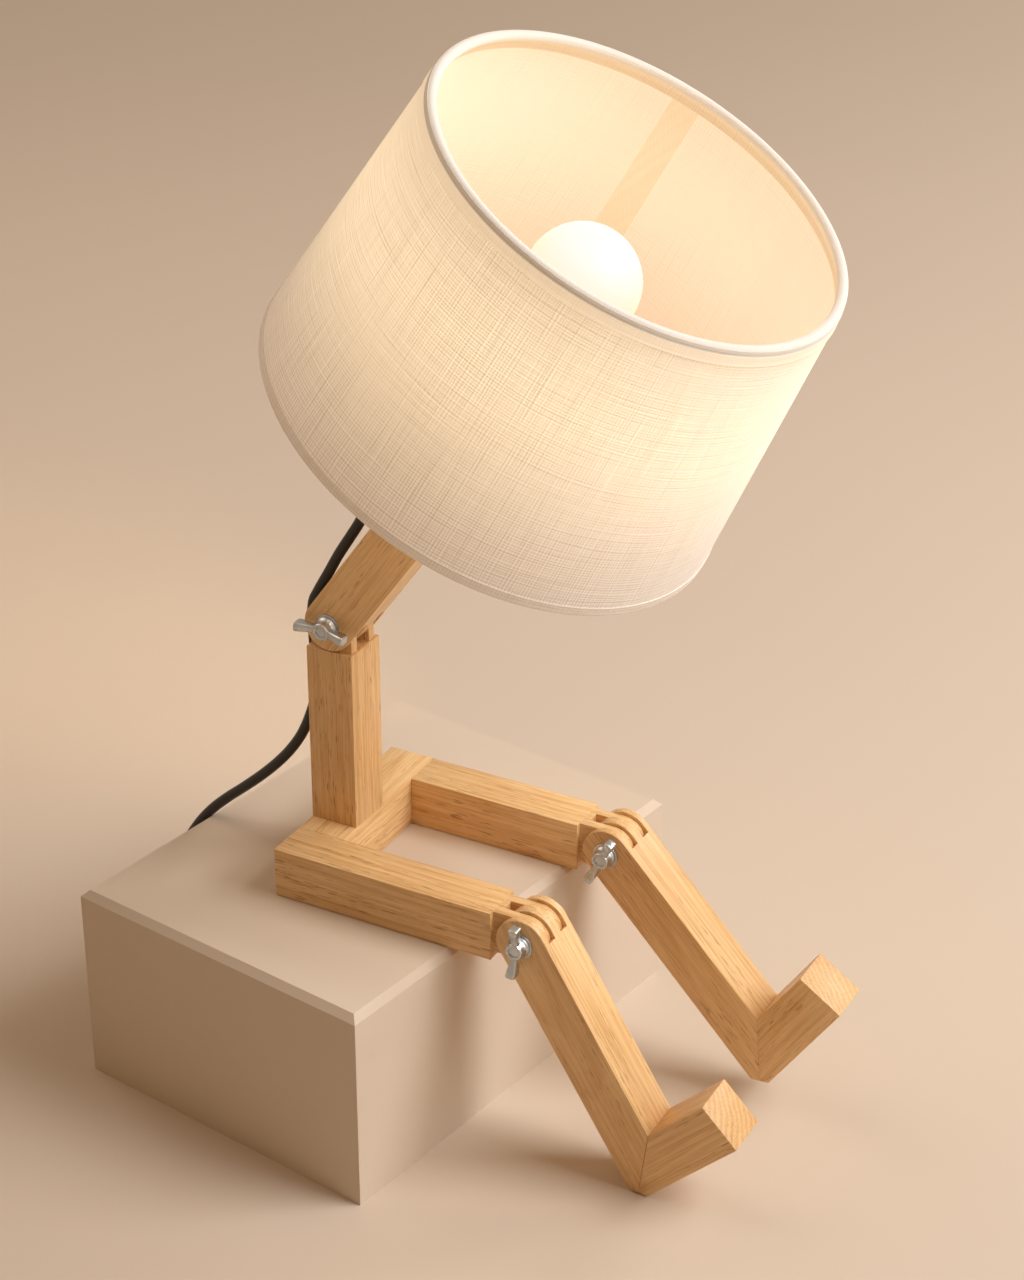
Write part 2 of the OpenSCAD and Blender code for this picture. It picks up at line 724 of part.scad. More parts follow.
// Tube swept along a list of points, with the ring frames carried from point to point
function unit(v) = v / norm(v);
function along(p, i) = unit(p[min(i + 1, len(p) - 1)] - p[max(i - 1, 0)]);
function square_to(n, t) = unit(n - t * (n * t));
function ring_normals(p, first) =
    [for (i = 0, n = square_to(first, along(p, 0)); i < len(p);
          i = i + 1, n = i < len(p) ? square_to(n, along(p, i)) : n) n];
module swept_tube(p, d, sides, first) {
    n = ring_normals(p, first);
    rings = len(p);
    points = [for (i = [0 : rings - 1], j = [0 : sides - 1])
        p[i] + d / 2 * (cos(360 * j / sides) * n[i]
                        + sin(360 * j / sides) * cross(along(p, i), n[i]))];
    walls = [for (i = [0 : rings - 2], j = [0 : sides - 1], half = [0, 1])
        let (a = i * sides + j, b = i * sides + (j + 1) % sides)
        half == 0 ? [a, a + sides, b] : [b, a + sides, b + sides]];
    caps = [for (j = [1 : sides - 2], end = [0, 1])
        end == 0 ? [0, j, j + 1]
                 : [(rings - 1) * sides, (rings - 1) * sides + j + 1, (rings - 1) * sides + j]];
    polyhedron(points, concat(walls, caps));
}

// Point in the lamp's frame of a place in the arm's plane: forward of the arm's
// middle line, and along it from the pivot
function arm_point(x, z) = [
    x * cos(arm_tilt) + z * sin(arm_tilt), post_off,
    pivot_z - x * sin(arm_tilt) + z * cos(arm_tilt)
];
kink = arm_tilt - shade_tilt;
bore_end = [bore_depth * sin(kink), arm_l - bore_depth * cos(kink)];
function holder_point(z) = arm_point(-z * sin(kink), arm_l + z * cos(kink));
function channel_point(s) =
    arm_point(bore_end[0] - s * sin(channel_turn), bore_end[1] - s * cos(channel_turn));
cord_start = channel_point(channel_l + bushing_out);
inner_route = concat(
    [for (z = [cup_floor + nut_h + 3, 2, -4, -8]) holder_point(z)],
    [(holder_point(-bore_depth) + channel_point(2)) / 2],
    [for (s = [6, 12, 22, 32, 43, channel_l + bushing_out]) channel_point(s)]
);
module cord_inner() color(black) swept_tube(inner_route, cord_d, 10, [0, 1, 0]);

// Route of the free cord from the arm to the switch
switch_entry = [lane_x, switch_y - switch_l / 2 - sleeve_l, switch_z];
drop_route = concat(
    [cord_start, channel_point(channel_l + bushing_out + cord_d)],
    [
        [28, -9, 247.2], [23.7, -9, 241.6], [21.2, -9, 236], [18.6, -9, 228.5], [13.9, -9, 217.3],
        [6, -9, 204.1], [-1, -9, 192.8], [-7.4, -9, 181], [-14.6, -9, 168.1], [-18.3, -8.8, 160.6],
        [-19.6, -8.5, 152.4], [-19.8, -8, 142], [-19.6, -7.3, 127], [-19.4, -7, 112], [-20.6, -7.2, 98],
        [-24.6, -8, 84], [-29.8, -8.6, 72], [-36.3, -9, 61.5], [-44.5, -9, 51.2], [-57.5, -9, 37.6],
        [-71, -9, 25.2], [-84, -9.2, 13.8], [-94, -9.8, 4], [-102, -11.5, -6], [-108, -15, -16.8],
        [-111, -21, -28], [-111.4, -34, -43.7], [-111.1, -47.5, -56.4], [-111, -60.3, -67.4],
        [-111, -65.3, -73.2], [-111, -68.6, -80.2], [-111, -69.8, -88.5], [-111, -68.4, -97.3],
        [-111, -64.3, -105.3], [-111, -58, -111.6], [-111, -50, -115.7]
    ],
    [switch_entry - [0, cord_d, 0], switch_entry]
);
module cord_drop() color(black) swept_tube(drop_route, cord_d, 8, [0, 1, 0]);

// Switch
module switch_plan(inset) {
    w = switch_w - 2 * inset;
    l = switch_l - 2 * inset;
    r = switch_corner - inset;
    square([w, l - 2 * r], center = true);
    square([w - 2 * r, l], center = true);
    for (x = [-1, 1], y = [-1, 1])
        translate([x * (w / 2 - r), y * (l / 2 - r)]) circle(r = r);
}
module at_switch_screws() {
    for (s = [-1, 1]) translate([s * switch_screw_x, s * switch_screw_y, -switch_h / 2]) children();
}
module switch_screw(grow) {
    wood_screw(switch_screw_d, 2 * switch_screw_d, switch_h - 2 * switch_wall, grow);
}
module switch_shell() {
    linear_extrude(switch_h / 2) switch_plan(0);
}
module switch_base() color(black) at_switch() difference() {
    translate([0, 0, -switch_h / 2]) difference() {
        switch_shell();
        translate([0, 0, switch_wall]) linear_extrude(switch_h) difference() {
            switch_plan(switch_wall);
            for (s = [-1, 1]) translate([s * switch_screw_x, s * switch_screw_y])
                circle(d = switch_boss_d);
        }
    }
    at_switch_screws() switch_screw(fit);
}
module rocker_window() {
    square([rocker_w + 2 * rocker_gap, rocker_l + 3 * rocker_gap], center = true);
}
module switch_cover() color(black) at_switch() difference() {
    union() {
        difference() {
            switch_shell();
            translate([0, 0, -switch_wall]) linear_extrude(switch_h / 2) difference() {
                switch_plan(switch_wall);
                for (s = [-1, 1]) translate([s * switch_screw_x, s * switch_screw_y])
                    circle(d = switch_boss_d);
            }
        }
        for (s = [-1, 1])
            translate([s * (rocker_w / 2 + rocker_gap + rocker_lug_t / 2), 0, rocker_z / 2])
                cube([rocker_lug_t, 2 * rocker_axle_d, switch_h - rocker_z], center = true);
    }
    translate([0, 0, -lap]) linear_extrude(switch_h) rocker_window();
    translate([0, 0, rocker_z]) rotate([0, 90, 0])
        cylinder(r = rocker_axle_d / 2 + run_gap,
                 h = rocker_w + 2 * (rocker_axle_out + rocker_gap), center = true);
    at_switch_screws() switch_screw(fit);
}
module switch_rocker() color(white) at_switch() translate([0, 0, rocker_z])
    rotate([rocker_throw / 2, 0, 0]) {
        low = -3;
        brow = 3.6;
        dip = 3;
        rotate([90, 0, 90]) linear_extrude(rocker_w, center = true) polygon([
            [-rocker_l / 2, low / 2], [-rocker_l / 4, low], [rocker_l / 4, low],
            [rocker_l / 2, low / 2], [rocker_l / 2, brow], [0, dip], [-rocker_l / 2, brow]
        ]);
        rotate([0, 90, 0])
            cylinder(d = rocker_axle_d, h = rocker_w + 2 * rocker_axle_out, center = true);
    }
module switch_contacts() color(brass) at_switch() for (s = [-1, 1])
    translate([0, s * rocker_l / 2, switch_wall - switch_h / 2]) {
        translate([0, 0, 0.5]) cube([6, 10, 1], center = true);
        translate([-3, -0.5, 0]) cube([6, 1, 4]);
    }
module switch_screws() color(zinc) at_switch() at_switch_screws() switch_screw(0);
module tapered_sleeve() {
    cylinder(d1 = sleeve_d, d2 = sleeve_tip_d, h = sleeve_l);
}
module switch_sleeves() color(black) at_switch() for (s = [-1, 1])
    translate([0, s * switch_l / 2, 0]) rotate([-s * 90, 0, 0]) tapered_sleeve();

// Coil: in along the lower layer, up over half a turn, and out along the upper layer
turn_down = 360 * coil_turns;
function coil_r(a) =
    a <= turn_down ? coil_out_r - coil_step * a / 360
    : a < turn_down + 180 ? coil_in_r - coil_dip * sin(a - turn_down)
    : coil_in_r + coil_step * (a - turn_down - 180) / 360;
function coil_lift(a) =
    let (s = min(max((a - turn_down) / 180, 0), 1)) coil_step * s * s * (3 - 2 * s);
function coil_point(a) = [
    coil_x + coil_r(a) * cos(a), coil_y + coil_r(a) * sin(a), coil_z + coil_lift(a)
];
function ease(s) = let (t = min(max(s, 0), 1)) t * t * (3 - 2 * t);
// Straight run from the switch to the coil, and tail from the coil to the plug
run_start = switch_y + switch_l / 2 + sleeve_l;
function run_point(s) = [
    lane_x, run_start + s * (coil_y - run_start),
    switch_z + (coil_z - switch_z) * ease((s - 0.07) / 0.58)
];
tail_top = coil_z + coil_step;
function tail_point(s) = [
    lane_x, coil_y + s * tail_l, tail_top + (plug_z - tail_top) * ease((s - 0.13) / 0.76)
];
loop_rings = 24;
coil_route = concat(
    [for (s = [0, 0.1, 0.22, 0.34, 0.46, 0.58, 0.68, 0.84]) run_point(s)],
    [for (a = [0 : 360 / loop_rings : coil_end]) coil_point(a)],
    [for (s = [0.15, 0.3, 0.45, 0.6, 0.75, 0.9, 1]) tail_point(s)]
);
module cord_coil() color(black) swept_tube(coil_route, cord_d, 6, [0, 0, 1]);

// Least gap of the coil, its run and its tail to each other, from points along the middle line
gap_step = 6;
gap_points = concat(
    [for (s = [0 : 0.1 : 0.95]) run_point(s)],
    [for (a = [0 : gap_step : coil_end]) coil_point(a)],
    [for (s = [0.1 : 0.1 : 1]) tail_point(s)]
);
gap_skip = 90 / gap_step;
gap_count = len(gap_points);
echo(coil_least_gap = min([for (i = [0 : gap_count - 1 - gap_skip], j = [i + gap_skip : gap_count - 1])
    norm(gap_points[i] - gap_points[j])]) - cord_d);

module coil_tie() color(black) {
    inner = coil_in_r - coil_dip - cord_r - 3 * tie_gap;
    outer = coil_out_r - coil_step / 2 + cord_r + tie_gap;
    low = coil_z - cord_r - tie_gap;
    high = coil_z + coil_step + cord_r + tie_gap;
    translate([coil_x, coil_y, 0]) difference() {
        block([-outer - tie_t, -tie_w / 2, low - tie_t], [-inner + tie_t, tie_w / 2, high + tie_t]);
        block([-outer, -tie_w, low], [-inner, tie_w, high]);
    }
}

// Plug
module plug_body() color(black) at_plug() difference() {
    translate([0, 0, -plug_t / 2]) linear_extrude(plug_t) polygon([
        [-plug_back_w / 2, 0], [plug_back_w / 2, 0], [plug_w / 2, plug_l * 0.55],
        [plug_w / 2, plug_l], [-plug_w / 2, plug_l], [-plug_w / 2, plug_l * 0.55]
    ]);
    for (s = [-1, 1]) translate([s * pin_pitch / 2, plug_l - pin_seat, 0]) rotate([-90, 0, 0])
        cylinder(d = pin_d + 2 * fit, h = pin_seat + lap);
}
module plug_pins() color(zinc) at_plug() for (s = [-1, 1])
    translate([s * pin_pitch / 2, plug_l - pin_seat, 0]) rotate([-90, 0, 0]) {
        cylinder(d = pin_d, h = pin_seat + pin_l - pin_d / 2);
        translate([0, 0, pin_seat + pin_l - pin_d / 2]) sphere(d = pin_d);
    }
module plug_sleeve() color(black) at_plug() rotate([90, 0, 0]) tapered_sleeve();

hip_crossbar();
right_thigh();
left_thigh();
seat_dowels();
torso_post();
post_screws();
neck_arm();
neck_bolt();
neck_washer();
neck_wing_nut();
right_shin();
right_foot();
right_foot_dowel();
right_knee_bolt();
right_knee_washer();
right_knee_wing_nut();
left_shin();
left_foot();
left_foot_dowel();
left_knee_bolt();
left_knee_washer();
left_knee_wing_nut();
holder_nipple();
holder_nut();
holder_cup();
holder_insert();
terminal_screws();
centre_contact();
screw_shell();
holder_sleeve();
fitter_ring();
fitter_arms();
shade_clamp_ring();
low_wire_ring();
top_wire_ring();
shade_liner();
shade_linen();
seam_strip();
top_binding();
low_binding();
bulb_globe();
bulb_cap();
bulb_tip();
cord_bushing();
cord_inner();
cord_drop();
switch_base();
switch_cover();
switch_rocker();
switch_contacts();
switch_screws();
switch_sleeves();
cord_coil();
coil_tie();
plug_body();
plug_pins();
plug_sleeve();
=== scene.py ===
"""Looks of the seated wooden lamp: beech limbs, linen shade, zinc wing nuts and a black cord."""

from __future__ import annotations

import json
import logging
import math
from dataclasses import dataclass, field
from enum import Enum

import bmesh
import bpy
import numpy as np
from mathutils import Matrix, Vector

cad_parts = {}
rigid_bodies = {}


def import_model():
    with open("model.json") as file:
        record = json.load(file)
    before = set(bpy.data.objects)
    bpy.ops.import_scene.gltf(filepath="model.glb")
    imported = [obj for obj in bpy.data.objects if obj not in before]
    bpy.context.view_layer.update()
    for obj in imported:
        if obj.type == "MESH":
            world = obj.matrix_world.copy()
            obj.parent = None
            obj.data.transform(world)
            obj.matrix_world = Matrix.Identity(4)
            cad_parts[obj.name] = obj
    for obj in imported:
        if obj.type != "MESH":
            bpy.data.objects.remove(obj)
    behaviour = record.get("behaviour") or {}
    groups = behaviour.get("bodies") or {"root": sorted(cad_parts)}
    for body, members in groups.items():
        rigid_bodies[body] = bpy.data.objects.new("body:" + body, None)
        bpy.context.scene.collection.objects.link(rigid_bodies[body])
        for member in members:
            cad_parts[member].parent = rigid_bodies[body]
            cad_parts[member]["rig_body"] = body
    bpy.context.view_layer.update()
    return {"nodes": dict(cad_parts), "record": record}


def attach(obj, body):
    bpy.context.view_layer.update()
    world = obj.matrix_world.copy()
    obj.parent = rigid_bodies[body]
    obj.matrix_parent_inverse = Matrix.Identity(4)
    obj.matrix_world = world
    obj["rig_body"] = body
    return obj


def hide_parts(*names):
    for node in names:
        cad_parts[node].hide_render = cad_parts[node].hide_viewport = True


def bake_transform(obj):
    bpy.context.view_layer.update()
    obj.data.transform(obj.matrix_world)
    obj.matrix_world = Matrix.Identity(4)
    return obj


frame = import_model()

logging.basicConfig(level=logging.INFO, format="%(message)s")
log = logging.getLogger("lamp")

Array = np.ndarray
Triple = tuple[float, float, float]
Colour = Triple
Piece = bpy.types.Object
Socket = bpy.types.NodeSocket
Sockets = bpy.types.bpy_prop_collection

# Names of stored coordinates, and the finish slot of each CAD node
GRAIN = "grain"
END = "end_grain"
CLOTH = "cloth"
SLOTS = {s["node"]: s["material_slot"] for s in frame["record"]["subparts"]}

# Lengths of this block are in metres and its angles in radians
MM = 0.001
THREAD_PITCH = 0.00165
RING_WIDTH = 0.0038
PITH = (0.031, 0.026)
MERGE = 4e-6
SLIVER = 2e-6
FLAT = math.radians(0.4)
EASED_FROM = math.radians(40)
SHARP_WOOD = math.radians(28)
SHARP_TURNED = math.radians(50)
FLOOR_HALF = 9.0
LEDGE_TOP = -0.0004
LEDGE_SOFT = 0.004
BULB_SOFT = 0.018

# Steps round a turned piece, and the colour of the far surroundings
SHADE_STEPS = 240
SLEEVE_STEPS = 40
BACKDROP: Colour = (0.52, 0.405, 0.30)


class Side(Enum):
    """The two sides of the seated figure, as the sign of Y."""

    RIGHT = -1
    LEFT = 1


# Frames shared by the pieces


@dataclass(frozen=True)
class Pose:
    """Places and turns of the lamp's moving parts at rest, in millimetres and degrees."""

    pivot: Triple = (0.0, -9.0, 155.5)
    arm_tilt: float = 35.5
    arm_l: float = 162.0
    shade_tilt: float = 30.0
    bulb_z: float = 103.4
    crown_z: float = 136.0
    knee: Triple = (142.5, 51.5, 16.5)
    right_bend: float = 58.4
    left_bend: float = 46.8
    foot_bend: float = 103.0
    floor_z: float = -124.597

    def turn(self, degrees: float) -> Array:
        """Rotation about +Y that takes Z towards X, as a matrix whose columns are the turned axes."""
        a = math.radians(degrees)
        return np.array([[math.cos(a), 0, math.sin(a)], [0, 1, 0], [-math.sin(a), 0, math.cos(a)]])

    def from_arm(self, x: float, z: float) -> Array:
        """Point of the arm's middle plane, x forwards and z along the arm from its pivot."""
        return np.array(self.pivot) + self.turn(self.arm_tilt) @ np.array([x, 0, z])

    def from_holder(self, points: Array) -> Array:
        """Carries points from the lamp holder's frame, on the arm's end, to the lamp's frame."""
        return points @ self.turn(self.shade_tilt).T + self.from_arm(0, self.arm_l)

    def on_axis(self, z: float) -> Triple:
        """Point of the holder's axis at a height, in metres."""
        return tuple(self.from_holder(np.array([0, 0, z])) * MM)

    def bend(self, side: Side) -> float:
        """Drop of one shin below the level of the seat, in degrees."""
        return self.right_bend if side is Side.RIGHT else self.left_bend

    def knee_at(self, side: Side) -> Triple:
        """Middle of one knee."""
        return (self.knee[0], side.value * self.knee[1], self.knee[2])


POSE = Pose()


# Meshes from whole arrays


def link(name: str, data: bpy.types.ID) -> Piece:
    """Makes an object of a mesh, curve, camera or light and puts it into the scene.

    Args:
        name: the object's name.
        data: what it shows.

    Returns:
        The linked object.
    """
    made = bpy.data.objects.new(name, data)
    bpy.context.scene.collection.objects.link(made)
    return made


def smooth_step(s: Array) -> Array:
    """Smooth step from 0 to 1."""
    t = np.clip(s, 0, 1)
    return t * t * (3 - 2 * t)


def vectors(items: bpy.types.bpy_prop_collection, key: str) -> Array:
    """Reads one vector of every vertex or face.

    Args:
        items: a mesh's vertices or faces.
        key: the vector's name, such as co or normal.

    Returns:
        N by 3 array.
    """
    found = np.empty(len(items) * 3, np.float32)
    items.foreach_get(key, found)
    return found.reshape(-1, 3)


def new_piece(name: str, points: Array, faces: list, smooth: bool = True) -> Piece:
    """Puts points and faces into a new object at the origin.

    Args:
        name: the piece's name.
        points: N by 3 array in metres, in the lamp's frame.
        faces: rows of vertex numbers.
        smooth: whether the faces are shaded smooth.

    Returns:
        The linked object.
    """
    mesh = bpy.data.meshes.new(name)
    mesh.from_pydata(points.tolist(), [], faces)
    mesh.polygons.foreach_set("use_smooth", np.full(len(mesh.polygons), smooth))
    mesh.update()
    return link(name, mesh)


def grid_faces(rows: int, columns: int, wrap_rows: bool) -> Array:
    """Quads of a grid whose vertex number is row * columns + column and whose last column joins the first.

    Args:
        rows: number of rows.
        columns: number of columns.
        wrap_rows: whether the last row joins the first.

    Returns:
        M by 4 array of vertex numbers.
    """
    r = np.arange(rows if wrap_rows else rows - 1)[:, None] * columns
    c = np.arange(columns)[None, :]
    r1, c1 = (r + columns) % (rows * columns), (c + 1) % columns
    return np.stack(np.broadcast_arrays(r + c, r + c1, r1 + c1, r1 + c), -1).reshape(-1, 4)


def revolved(profile: Array, segments: int) -> Array:
    """Carries a closed outline round Z: a point (r, z) goes to (r cos a, r sin a, z).

    Args:
        profile: N by 2 array of radius and height.
        segments: steps round the full turn.

    Returns:
        Array of N times segments points.
    """
    a = np.linspace(0, 2 * np.pi, segments, endpoint=False)
    r, z = profile[:, :1], profile[:, 1:]
    return np.stack(np.broadcast_arrays(r * np.cos(a), r * np.sin(a), z), -1).reshape(-1, 3)


def arc(centre: Array, radius: float, start: float, end: float, count: int) -> Array:
    """Points of a circle's arc in the outline plane, from one angle to another in degrees."""
    a = np.radians(np.linspace(start, end, count))
    return np.stack([centre[0] + radius * np.cos(a), centre[1] + radius * np.sin(a)], -1)


def lathe_piece(name: str, profile: Array, segments: int, place: Array | None = None) -> Piece:
    """Closed ring turned from an outline in the holder's frame, with a cloth map in metres.

    The map's first coordinate is the arc at the outline's mean radius, and its second is the length
    along the outline.

    Args:
        name: the piece's name.
        profile: closed outline, anticlockwise, in millimetres.
        segments: steps round the full turn.
        place: optional 4 by 4 matrix in millimetres, used in place of the holder's frame.

    Returns:
        The linked object.
    """
    rows = len(profile)
    ring = revolved(profile, segments)
    world = POSE.from_holder(ring) if place is None else ring @ place[:3, :3].T + place[:3, 3]
    piece = new_piece(name, world * MM, grid_faces(rows, segments, True)[:, ::-1].tolist())
    step = np.linalg.norm(np.diff(profile, axis=0, append=profile[:1]), axis=1)
    along = np.concatenate([[0], np.cumsum(step)]) * MM
    round_u = np.arange(segments + 1) / segments * 2 * np.pi * profile[:, 0].mean() * MM
    r, c = np.divmod(np.arange(rows * segments), segments)
    corner = [np.stack([round_u[c + i], along[r + j]], -1) for i, j in ((0, 1), (1, 1), (1, 0), (0, 0))]
    piece.data.uv_layers.new(name=CLOTH).data.foreach_set("uv", np.stack(corner, 1).reshape(-1))
    return piece


def softened(node: str, radius: float, keep: float = 0.0, centre: Triple | None = None) -> Piece:
    """Copy of a CAD node with its outer edges eased.

    The copy is merged, its flat faces are joined, and each convex edge sharper than EASED_FROM is
    rounded. Edges nearer than keep to the Y line through centre, such as those of a bolt hole, stay sharp.

    Args:
        node: the CAD node's name.
        radius: size of the rounding in millimetres.
        keep: distance from the line within which edges stay sharp, in millimetres.
        centre: a point of that line, in millimetres.

    Returns:
        The linked object.
    """
    mesh = bpy.data.meshes.new("soft_" + node)
    work = bmesh.new()
    work.from_mesh(frame["nodes"][node].data)
    bmesh.ops.remove_doubles(work, verts=work.verts[:], dist=MERGE)
    bmesh.ops.dissolve_degenerate(work, edges=work.edges[:], dist=SLIVER)
    bmesh.ops.dissolve_limit(work, angle_limit=FLAT, verts=work.verts[:], edges=work.edges[:])
    work.normal_update()
    line = None if centre is None else np.array([centre[0], centre[2]]) * MM

    def eased(edge: bmesh.types.BMEdge) -> bool:
        """Tells whether an edge is to be rounded."""
        sharp = len(edge.link_faces) == 2 and edge.is_convex and edge.calc_face_angle(0.0) >= EASED_FROM
        return sharp and (line is None or max(
            math.hypot(v.co.x - line[0], v.co.z - line[1]) for v in edge.verts) > keep * MM)

    bmesh.ops.bevel(work, geom=[e for e in work.edges if eased(e)], offset=radius * MM, offset_type="OFFSET",
                    segments=2, profile=0.5, affect="EDGES", clamp_overlap=True)
    bmesh.ops.triangulate(work, faces=[f for f in work.faces if len(f.verts) > 4])
    work.to_mesh(mesh)
    work.free()
    mesh.polygons.foreach_set("use_smooth", np.ones(len(mesh.polygons), bool))
    mesh.set_sharp_from_angle(angle=SHARP_WOOD)
    return link("soft_" + node, mesh)


# Shader trees


class Tree:
    """A node tree that is being filled, with short ways to add and join nodes."""

    def __init__(self, tree: bpy.types.NodeTree) -> None:
        """Keeps the tree."""
        self.tree = tree

    def fill(self, node: bpy.types.Node, inputs: dict) -> bpy.types.Node:
        """Sets a node's inputs.

        Args:
            node: the node.
            inputs: values, colours or other nodes' sockets, by the input's name or number.

        Returns:
            The same node.
        """
        for key, value in inputs.items():
            socket = node.inputs[key]
            if isinstance(value, Socket):
                self.tree.links.new(value, socket)
            else:
                socket.default_value = (*value, 1.0) if socket.type == "RGBA" else value
        return node

    def add(self, kind: str, inputs: dict | None = None, **options: object) -> bpy.types.Node:
        """Adds a node.

        Args:
            kind: Blender's name of the shader node type, without its prefix.
            inputs: values or sockets for its inputs, by name or number.
            options: the node's own settings.

        Returns:
            The node.
        """
        node = self.tree.nodes.new("ShaderNode" + kind)
        for key, value in options.items():
            setattr(node, key, value)
        return self.fill(node, inputs or {})

    def math(self, operation: str, a: object, b: object = 0.0, c: object = 0.0) -> Socket:
        """Adds a Math node and returns its value."""
        return self.add("Math", {0: a, 1: b, 2: c}, operation=operation).outputs[0]

    def measure(self, operation: str, a: object, b: Triple = (0, 0, 0)) -> Socket:
        """Adds a length or distance of vectors and returns its value."""
        return self.add("VectorMath", {0: a, 1: b}, operation=operation).outputs["Value"]

    def step(self, value: object, low: float, high: float, to_low: float = 0.0, to_high: float = 1.0) -> Socket:
        """Adds a smooth step of a value from one range to another and returns its result."""
        ranges = {0: value, 1: low, 2: high, 3: to_low, 4: to_high}
        return self.add("MapRange", ranges, interpolation_type="SMOOTHSTEP").outputs[0]

    def stretch(self, vector: object, scale: Triple, shift: Triple = (0, 0, 0)) -> Socket:
        """Multiplies a vector by a scale and adds a shift."""
        return self.add("VectorMath", {0: vector, 1: scale, 2: shift}, operation="MULTIPLY_ADD").outputs[0]

    def noise(self, vector: object, detail: float = 2.0, rough: float = 0.5, scale: float = 1.0) -> Socket:
        """Adds a noise texture and returns its value."""
        inputs = {"Vector": vector, "Scale": scale, "Detail": detail, "Roughness": rough}
        return self.add("TexNoise", inputs).outputs[0]

    def blend(self, share: object, a: object, b: object, mode: str = "MIX") -> Socket:
        """Adds a colour mix and returns its colour."""
        return self.add("Mix", {0: share, 6: a, 7: b}, data_type="RGBA", blend_type=mode).outputs[2]

    def seen(self) -> Socket:
        """Adds a test for rays of the camera, of mirrors and of glass, which see the backdrop.

        Returns:
            A value that is 1 for such a ray and 0 for any other.
        """
        path = self.add("LightPath").outputs
        direct = self.math("MAXIMUM", path["Is Camera Ray"], path["Is Glossy Ray"])
        return self.math("MAXIMUM", direct, path["Is Transmission Ray"])

    def place(self) -> Socket:
        """Adds the object coordinates of the surface."""
        return self.add("TexCoord").outputs["Object"]

    def effect(self, made: bpy.types.NodeTree, vector: Socket, **numbers: float) -> Sockets:
        """Adds a shared node group.

        Args:
            made: the node group.
            vector: the position that it reads.
            numbers: its other inputs.

        Returns:
            The group's outputs.
        """
        return self.add("Group", {"Vector": vector, **numbers}, node_tree=made).outputs


def group(name: str, outputs: tuple[str, ...], **numbers: float) -> tuple[Tree, Sockets, bpy.types.Node]:
    """Starts a shader node group that reads a position and gives numbers.

    Args:
        name: the group's name.
        outputs: names of its outputs.
        numbers: its other inputs, with their defaults.

    Returns:
        The tree, what its inputs give and its output node.
    """
    made = bpy.data.node_groups.new(name, "ShaderNodeTree")
    made.interface.new_socket("Vector", in_out="INPUT", socket_type="NodeSocketVector")
    for key, default in numbers.items():
        made.interface.new_socket(key, in_out="INPUT", socket_type="NodeSocketFloat").default_value = default
    for key in outputs:
        made.interface.new_socket(key, in_out="OUTPUT", socket_type="NodeSocketFloat")
    return Tree(made), made.nodes.new("NodeGroupInput").outputs, made.nodes.new("NodeGroupOutput")


